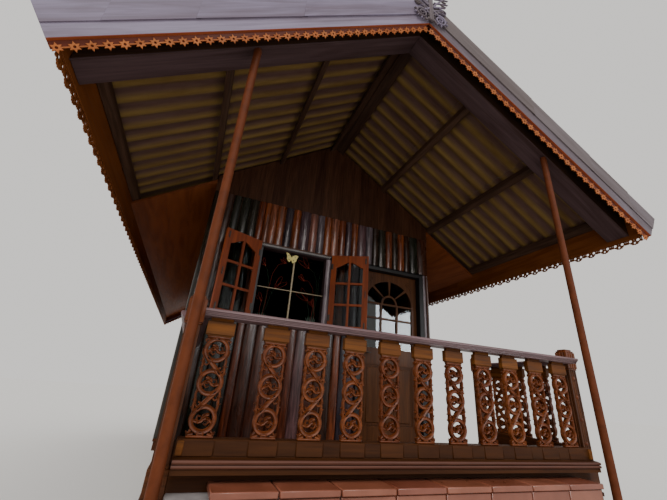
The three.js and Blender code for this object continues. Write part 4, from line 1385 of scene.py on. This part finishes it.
# Wire flowers: where the loops meet and where they end
WIRE_FLOWERS = (
    ((-0.827, 2.836), (-0.890, 2.921)), ((-0.569, 2.910), (-0.626, 2.975)),
    ((-0.663, 2.568), (-0.548, 2.700)), ((-0.804, 2.383), (-0.880, 2.469)),
    ((-0.252, 2.905), (-0.374, 3.025)), ((-0.300, 2.725), (-0.366, 2.790)),
    ((-0.224, 2.472), (-0.358, 2.587)), ((-0.130, 2.400), (-0.190, 2.480)),
)
# Wire stems: from the pot to a flower
WIRE_STEMS = (
    ((-0.786, 2.150), (-0.760, 2.400), (-0.752, 2.630), (-0.790, 2.780), (-0.827, 2.836)),
    ((-0.775, 2.150), (-0.745, 2.500), (-0.720, 2.740), (-0.660, 2.880), (-0.569, 2.910)),
    ((-0.770, 2.150), (-0.730, 2.350), (-0.700, 2.480), (-0.663, 2.568)),
    ((-0.795, 2.150), (-0.815, 2.280), (-0.804, 2.383)),
    ((-0.155, 2.150), (-0.115, 2.500), (-0.120, 2.740), (-0.170, 2.860), (-0.252, 2.905)),
    ((-0.165, 2.150), (-0.135, 2.450), (-0.170, 2.640), (-0.230, 2.730), (-0.300, 2.725)),
    ((-0.175, 2.150), (-0.190, 2.330), (-0.224, 2.472)),
    ((-0.145, 2.150), (-0.110, 2.290), (-0.130, 2.400)),
    ((-0.140, 2.150), (-0.090, 2.560), (-0.092, 2.800), (-0.055, 2.930)),
)
# Wire pots: middle and top of each
WIRE_POTS = ((-0.786, 2.200), (-0.155, 2.230))


def wire_flower(shape, foot, tip, y):
    """Red wire flower: a small ring at its foot and two long open loops."""
    along = Vector((tip[0] - foot[0], tip[1] - foot[1]))
    size = along.length
    along = along / size
    side = Vector((-along.y, along.x))
    for spread in (-17.0, 17.0):
        turn = math.radians(spread)
        ahead = along * math.cos(turn) + side * math.sin(turn)
        across = Vector((-ahead.y, ahead.x))
        loop = []
        for step in range(12):
            angle = 2.0 * math.pi * step / 12
            forward = ahead * size * (0.5 - 0.5 * math.cos(angle))
            loop.append(tuple(Vector(foot) + forward + across * size * 0.14 * math.sin(angle)))
        ribbon(shape, loop, 0.0028, 0.0028, y, closed=True, section=WIRE, slot=1)
    ribbon(shape, circle(foot, 0.008, 10), 0.0025, 0.0025, y, closed=True, section=WIRE, slot=1)


def make_window_cross():
    """Cross bar and upright with a small winged cut-out."""
    (x0, y, z0), (x1, _, _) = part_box("window_cross")
    shape = Shape()
    block(shape, (x0, y + 0.005, CROSS_BAR_BOTTOM), (x1, y + 0.017, CROSS_BAR_TOP), slot=1)
    block(shape, (WINDOW_MIDDLE - 0.011, y, z0), (WINDOW_MIDDLE + 0.011, y + 0.022, UPRIGHT_TOP), along=2,
          slot=1, chamfer=0.004)
    middle = WINDOW_MIDDLE - WING_OFFSET
    wings = [(middle + x, UPRIGHT_TOP + z) for x, z in WING_OUTLINE]
    holes = [circle((middle + x, UPRIGHT_TOP + z), 0.006, 8) for x, z in WING_HOLES]
    pierced(shape, wings, y - 0.006, y + 0.004, holes=holes)
    head = middle - FEELER_OFFSET
    for lean in (-0.012, 0.010):
        feeler = [(head + x * lean, UPRIGHT_TOP + z) for x, z in ((0.0, 0.066), (0.6, 0.084), (1.6, 0.097))]
        ribbon(shape, feeler, 0.004, 0.004, y - 0.001, section=WIRE)
    make_piece("window_bars", shape, [YELLOW, CREAM], ["window_cross"], bevel=0.0015)


def make_wire_grille():
    """Bent wire grille behind the cross: potted flowers over a bottom bar."""
    (x0, y, z0), (x1, _, _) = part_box("window_cross")
    shape = Shape()
    back = y + 0.040
    bottom = z0 + 0.02
    for foot, tip in WIRE_FLOWERS:
        wire_flower(shape, foot, tip, back)
    for index, stem in enumerate(WIRE_STEMS):
        ribbon(shape, stem, 0.0025, 0.0025, back, section=WIRE, slot=index % 2)
    for middle, top in WIRE_POTS:
        for spread in (-50.0, -28.0, -8.0, 12.0, 32.0, 54.0):
            angle = math.radians(90.0 + spread)
            leaf = [(middle, bottom), (middle + 0.05 * math.cos(angle), 0.5 * (bottom + top)),
                    (middle + 0.085 * math.cos(angle), top + 0.04 * math.sin(angle))]
            ribbon(shape, leaf, 0.018, 0.004, back, taper=0.15, section=WIRE)
    bar = [(x, bottom - 0.015) for x in (x0 + 0.02, x1 - 0.02)]
    ribbon(shape, bar, 0.006, 0.006, back, section=WIRE)
    make_piece("window_wire_grille", shape, [GREEN_WIRE, RED_WIRE], ())


def sash_head(x0, x1):
    """Points from x1 back to x0 along the raised head of a sash, which peaks in its middle."""
    middle = 0.5 * SASH_SIZE[0]
    points = []
    steps = 8
    for step in range(steps):
        x = x1 + (x0 - x1) * step / (steps - 1)
        share = min(1.0, abs(x - middle) / (middle - SASH_STILE))
        curve = 0.5 + 0.5 * math.cos(math.pi * share ** 1.15)
        rise = 0.55 * curve + 0.45 * (1.0 - share)
        points.append((x, SASH_SPRING_LINE + (SASH_PEAK - SASH_SPRING_LINE) * rise))
    return points


def make_sash_fittings(name, place):
    """Bolts at the head and foot and a handle on the free stile, and hinge leaves on the other."""
    width, depth, height = SASH_SIZE
    shape = Shape()
    free = width - 0.5 * SASH_STILE
    for z in (0.075, height - 0.075):
        block(shape, (free - 0.010, depth, z - 0.035), (free + 0.010, depth + 0.005, z + 0.035), place)
        ribbon(shape, [(free, z - 0.045), (free, z + 0.045)], 0.008, 0.008, depth + 0.008, place)
    grip = [(free, 0.43), (free + 0.004, 0.445), (free + 0.004, 0.50), (free, 0.515)]
    ribbon(shape, grip, 0.011, 0.016, depth + 0.009, place)
    for z in (0.16, height - 0.16):
        block(shape, (0.001, depth, z - 0.04), (0.028, depth + 0.003, z + 0.04), place)
    make_piece(name + "_fittings", shape, [HANDLE], ())


def make_sash(name):
    """Open sash with a raised head and two columns of three panes."""
    hinge, angle, mirrored = SASH_HINGES[name]
    width, depth, height = SASH_SIZE
    place = turned(angle, (hinge, SASH_BACK_Y, SASH_TOP - height), mirrored)
    pane = (width - 2.0 * SASH_STILE - SASH_BAR) / 2.0
    holes = []
    for column in range(2):
        x0 = SASH_STILE + column * (pane + SASH_BAR)
        x1 = x0 + pane
        for row in range(3):
            z0 = SASH_FOOT + row * (SASH_PANE_HEIGHT + SASH_BAR)
            hole = rectangle(x0, x1, z0, z0 + SASH_PANE_HEIGHT)
            if row == 2:
                hole[2:] = sash_head(x0, x1)
            holes.append(hole)
    shape = Shape()
    pierced(shape, rectangle(0.0, width, 0.0, height), 0.0, depth, place, along=2, holes=holes)
    make_piece(name + "_joinery", shape, [SASH], [name], bevel=0.003)
    make_sash_fittings(name, place)


# Door


def hinge_half(shape, level, plate, web, slot=0):
    """Knuckle on the hinge axis, a plate on the back face and the web between them."""
    top = level + KNUCKLE_HEIGHT
    knuckle = [(KNUCKLE_RADIUS, level + 0.0005), (KNUCKLE_RADIUS, top)]
    turning(shape, knuckle, HINGE_AXIS, sides=16, slot=slot)
    plate_depth = (DOOR_BACK - 0.001, DOOR_BACK + 0.003)
    web_depth = (DOOR_BACK + 0.0005, HINGE_AXIS[1] - 0.001)
    for (x0, x1), (y0, y1) in ((plate, plate_depth), (web, web_depth)):
        block(shape, (x0, y0, level), (x1, y1, top), slot=slot, chamfer=0.001)


def make_door_frame():
    """Black jambs and head with a stop, and the carrying halves of the hinges."""
    (x0, front, _), (x1, _, top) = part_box("door_frame")
    shape = Shape()
    for edge, inner in ((x0, x0 + 0.070), (x1, x1 - 0.070)):
        block(shape, (edge, front, DECK_TOP), (inner, DOOR_BACK, top), tone=0.5, along=2)
    block(shape, (x0 + 0.069, front, LINTEL_BOTTOM), (x1 - 0.069, DOOR_BACK, top), tone=0.4)
    block(shape, (x0, front, top - 0.022), (x1, front + 0.012, top), tone=0.7, chamfer=0.005)
    for level in FRAME_HINGES:
        hinge_half(shape, level, (1.453, 1.477), (1.450, 1.455), slot=1)
    make_piece("door_jambs", shape, [BLACK_AND_SHADE, HANDLE], ["door_frame"])


def door_pane_holes(inner):
    """Three columns of panes, the fan panes over them and the half round in the fan's middle."""
    pane = (inner - 2.0 * DOOR_BAR) / 3.0
    height = (DOOR_SPRING_LINE - DOOR_BAR - DOOR_GLASS_BOTTOM - 2.0 * DOOR_BAR) / DOOR_PANE_ROWS
    holes = []
    for column in range(3):
        left = DOOR_LEFT + DOOR_STILE + column * (pane + DOOR_BAR)
        for row in range(DOOR_PANE_ROWS):
            bottom = DOOR_GLASS_BOTTOM + row * (height + DOOR_BAR)
            holes.append(rectangle(left, left + pane, bottom, bottom + height))
    centre = (DOOR_MIDDLE, DOOR_SPRING_LINE)
    reach = 0.5 * inner
    for start, end in FAN_PANES:
        holes.append(circle(centre, reach, 6, start, end - start, DOOR_ARCH_RISE / reach)
                     + circle(centre, FAN_INNER, 6, end, start - end))
    holes.append(circle(centre, FAN_CENTRE, 11, 0.0, 180.0))
    return holes


def door_panel(shape, left, right, bottom, top):
    """Raised panel with two frames of beading around it."""
    for inset, sunk, chamfer in ((-0.001, 0.014, 0.003), (0.045, 0.006, 0.008)):
        block(shape, (left + inset, DOOR_FRONT + sunk, bottom + inset),
              (right - inset, DOOR_BACK - sunk, top - inset), along=2, chamfer=chamfer)
    for inset in (0.0, 0.018):
        outline, hole = [rectangle(left + edge, right - edge, bottom + edge, top - edge)
                         for edge in (inset, inset + 0.012)]
        pierced(shape, outline, DOOR_FRONT + 0.004 + 0.25 * inset, DOOR_FRONT + 0.02, along=2, holes=[hole])


def make_door_leaf():
    """Leaf with a fanlight over three columns of panes, a lock rail and moulded lower panels."""
    inner = DOOR_RIGHT - DOOR_LEFT - 2.0 * DOOR_STILE
    half = 0.5 * (inner - PANEL_GAP)
    panels = []
    for column in range(2):
        left = DOOR_LEFT + DOOR_STILE + column * (half + PANEL_GAP)
        panels.append((left, left + half, DOOR_FOOT + 0.16, DOOR_GLASS_BOTTOM - 0.20))
    holes = door_pane_holes(inner) + [rectangle(*panel) for panel in panels]
    shape = Shape()
    outline = rectangle(DOOR_LEFT, DOOR_RIGHT, DOOR_FOOT, DOOR_HEAD)
    pierced(shape, outline, DOOR_FRONT, DOOR_BACK, tone=0.5, along=2, holes=holes)
    for panel in panels:
        door_panel(shape, *panel)
    curl = spiral((-0.050, -0.045), 0.040, 0.008, 60.0, 420.0, 20)
    for sign in (-1.0, 1.0):
        corner = DOOR_MIDDLE + sign * (0.5 * inner - 0.012)
        scroll = [(corner + sign * x, 2.975 + z) for x, z in curl]
        ribbon(shape, scroll, 0.012, 0.008, DOOR_FRONT - 0.001, taper=0.5)
        leaf = [(corner + sign * x, z) for x, z in ((-0.030, 2.900), (-0.005, 2.860), (0.010, 2.800))]
        ribbon(shape, leaf, 0.018, 0.008, DOOR_FRONT - 0.001, taper=0.3)
    make_piece("door_leaf_joinery", shape, [DOOR], ["door_leaf"], body="door", bevel=0.0025)


def make_door_fittings():
    """Turning halves of the hinges, and a lever handle on a plate on each face."""
    shape = Shape()
    for level in LEAF_HINGES:
        hinge_half(shape, level, (DOOR_RIGHT - 0.035, DOOR_RIGHT - 0.001), (DOOR_RIGHT - 0.002, 1.4490))
    lock_x = DOOR_LEFT + 0.5 * DOOR_STILE
    for sign, face in ((-1.0, DOOR_FRONT), (1.0, DOOR_BACK)):
        block(shape, (lock_x - 0.022, face, 1.80), (lock_x + 0.022, face + sign * 0.004, 2.00), chamfer=0.002)
        lever = [(lock_x + x, HANDLE_LEVEL + z) for x, z in ((0.0, 0.0), (0.020, 0.0), (0.110, -0.005))]
        ribbon(shape, lever, 0.018, 0.014, face + sign * 0.045, taper=0.8)
        spindle = moved(lock_x, HANDLE_LEVEL, face, y_and_z_swapped)
        turning(shape, [(0.009, 0.0), (0.009, sign * 0.045)], (0.0, 0.0), spindle, sides=16)
    make_piece("door_fittings", shape, [HANDLE], (), body="door")


def finish_glass(node, glass):
    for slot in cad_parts[node].material_slots:
        slot.material = glass


# Scene


def make_camera():
    """Camera where the photograph was taken."""
    forward = Vector((math.sin(CAMERA_YAW) * math.cos(CAMERA_PITCH),
                      math.cos(CAMERA_YAW) * math.cos(CAMERA_PITCH), math.sin(CAMERA_PITCH)))
    level = Vector((math.cos(CAMERA_YAW), -math.sin(CAMERA_YAW), 0.0))
    upright = level.cross(forward)
    right = level * math.cos(CAMERA_ROLL) + upright * math.sin(CAMERA_ROLL)
    up = upright * math.cos(CAMERA_ROLL) - level * math.sin(CAMERA_ROLL)
    turn = Matrix((right, up, -forward)).transposed()
    data = bpy.data.cameras.new("camera")
    data.sensor_fit = "HORIZONTAL"
    data.sensor_width = SENSOR_WIDTH
    data.lens = SENSOR_WIDTH * FOCAL_PIXELS / PHOTO_WIDTH
    data.shift_x = -CENTRE_OFFSET_PIXELS[0] / PHOTO_WIDTH
    data.shift_y = CENTRE_OFFSET_PIXELS[1] / PHOTO_WIDTH
    data.clip_end = 200.0
    camera = link(bpy.data.objects.new("camera", data))
    camera.matrix_world = Matrix.Translation(CAMERA_PLACE) @ turn.to_4x4()
    bpy.context.scene.camera = camera


def make_floor():
    """Plain pale floor."""
    mesh = bpy.data.meshes.new("floor")
    corners = [(x, y, 0.0) for x, y in rectangle(-60.0, 60.0, -60.0, 60.0)]
    mesh.from_pydata(corners, [], [(0, 1, 2, 3)])
    link(bpy.data.objects.new("floor", mesh))
    m = Nodes("floor")
    m.set(Base_Color=(0.72, 0.71, 0.69, 1.0), Roughness=0.9, Specular_IOR_Level=0.0)
    mesh.materials.append(m.material)


def softbox(name, place, aim, size, power, color):
    """Large soft light that shows in glossy surfaces as a clean highlight."""
    data = bpy.data.lights.new(name, "AREA")
    data.shape = "RECTANGLE"
    data.size, data.size_y = size
    data.energy = power
    data.color = color
    box = link(bpy.data.objects.new(name, data))
    box.location = place
    box.rotation_euler = (Vector(aim) - Vector(place)).to_track_quat("-Z", "Y").to_euler()
    box.visible_camera = False
    box.visible_diffuse = False


def make_light():
    """Even studio light with a soft sun and two softboxes."""
    softbox("front_softbox", (0.5, -7.0, 5.6), (0.0, 2.2, 3.0), (2.0, 4.0), 480.0, (1.0, 0.92, 0.88))
    softbox("side_softbox", (6.6, -6.5, 4.2), (0.5, 2.2, 2.6), (2.2, 3.2), 300.0, (0.90, 0.95, 1.0))
    world = bpy.data.worlds.new("world")
    world.use_nodes = True
    background = world.node_tree.nodes["Background"]
    background.inputs["Color"].default_value = (1.0, 0.975, 0.94, 1.0)
    background.inputs["Strength"].default_value = 0.9
    bpy.context.scene.world = world
    data = bpy.data.lights.new("soft_sun", "SUN")
    data.energy = 1.6
    data.angle = math.radians(25.0)
    sun = link(bpy.data.objects.new("soft_sun", data))
    sun.rotation_euler = (math.radians(48.0), 0.0, math.radians(-28.0))


make_camera()
make_floor()
make_light()
make_plinth()
for facing in ("left", "right", "back"):
    make_foundation(facing)
make_floor_boards("veranda_floor_boards", "veranda_deck")
make_floor_boards("room_floor_boards", "room_floor")
make_walls()
make_gable_panel("front_gable_panel")
make_gable_panel("back_gable_panel")
for side, label in SIDES:
    make_roof_sheets(label, side)
    make_roof_frame(label, side)
    make_verge(label, side, "front", -1)
    make_verge(label, side, "back", 1)
    make_fascia(label, side)
    make_soffit(label, side)
make_ridge_cap()
make_ridge_beam()
make_gable_ornament()
make_front_rail()
make_newel("left_newel")
make_newel("right_newel")
make_side_rail("left_side_balustrade", -1, LEFT_RAIL_END, False)
make_side_rail("right_side_balustrade", 1, RIGHT_RAIL_END, True)
make_pipe_post("left_pipe_post")
make_pipe_post("right_pipe_post")
make_window_frame()
make_window_cross()
make_wire_grille()
make_sash("left_sash")
make_sash("right_sash")
make_door_frame()
make_door_leaf()
make_door_fittings()
finish_glass("left_sash_glass", SASH_GLASS)
finish_glass("right_sash_glass", SASH_GLASS)
finish_glass("door_glass", DOOR_GLASS)
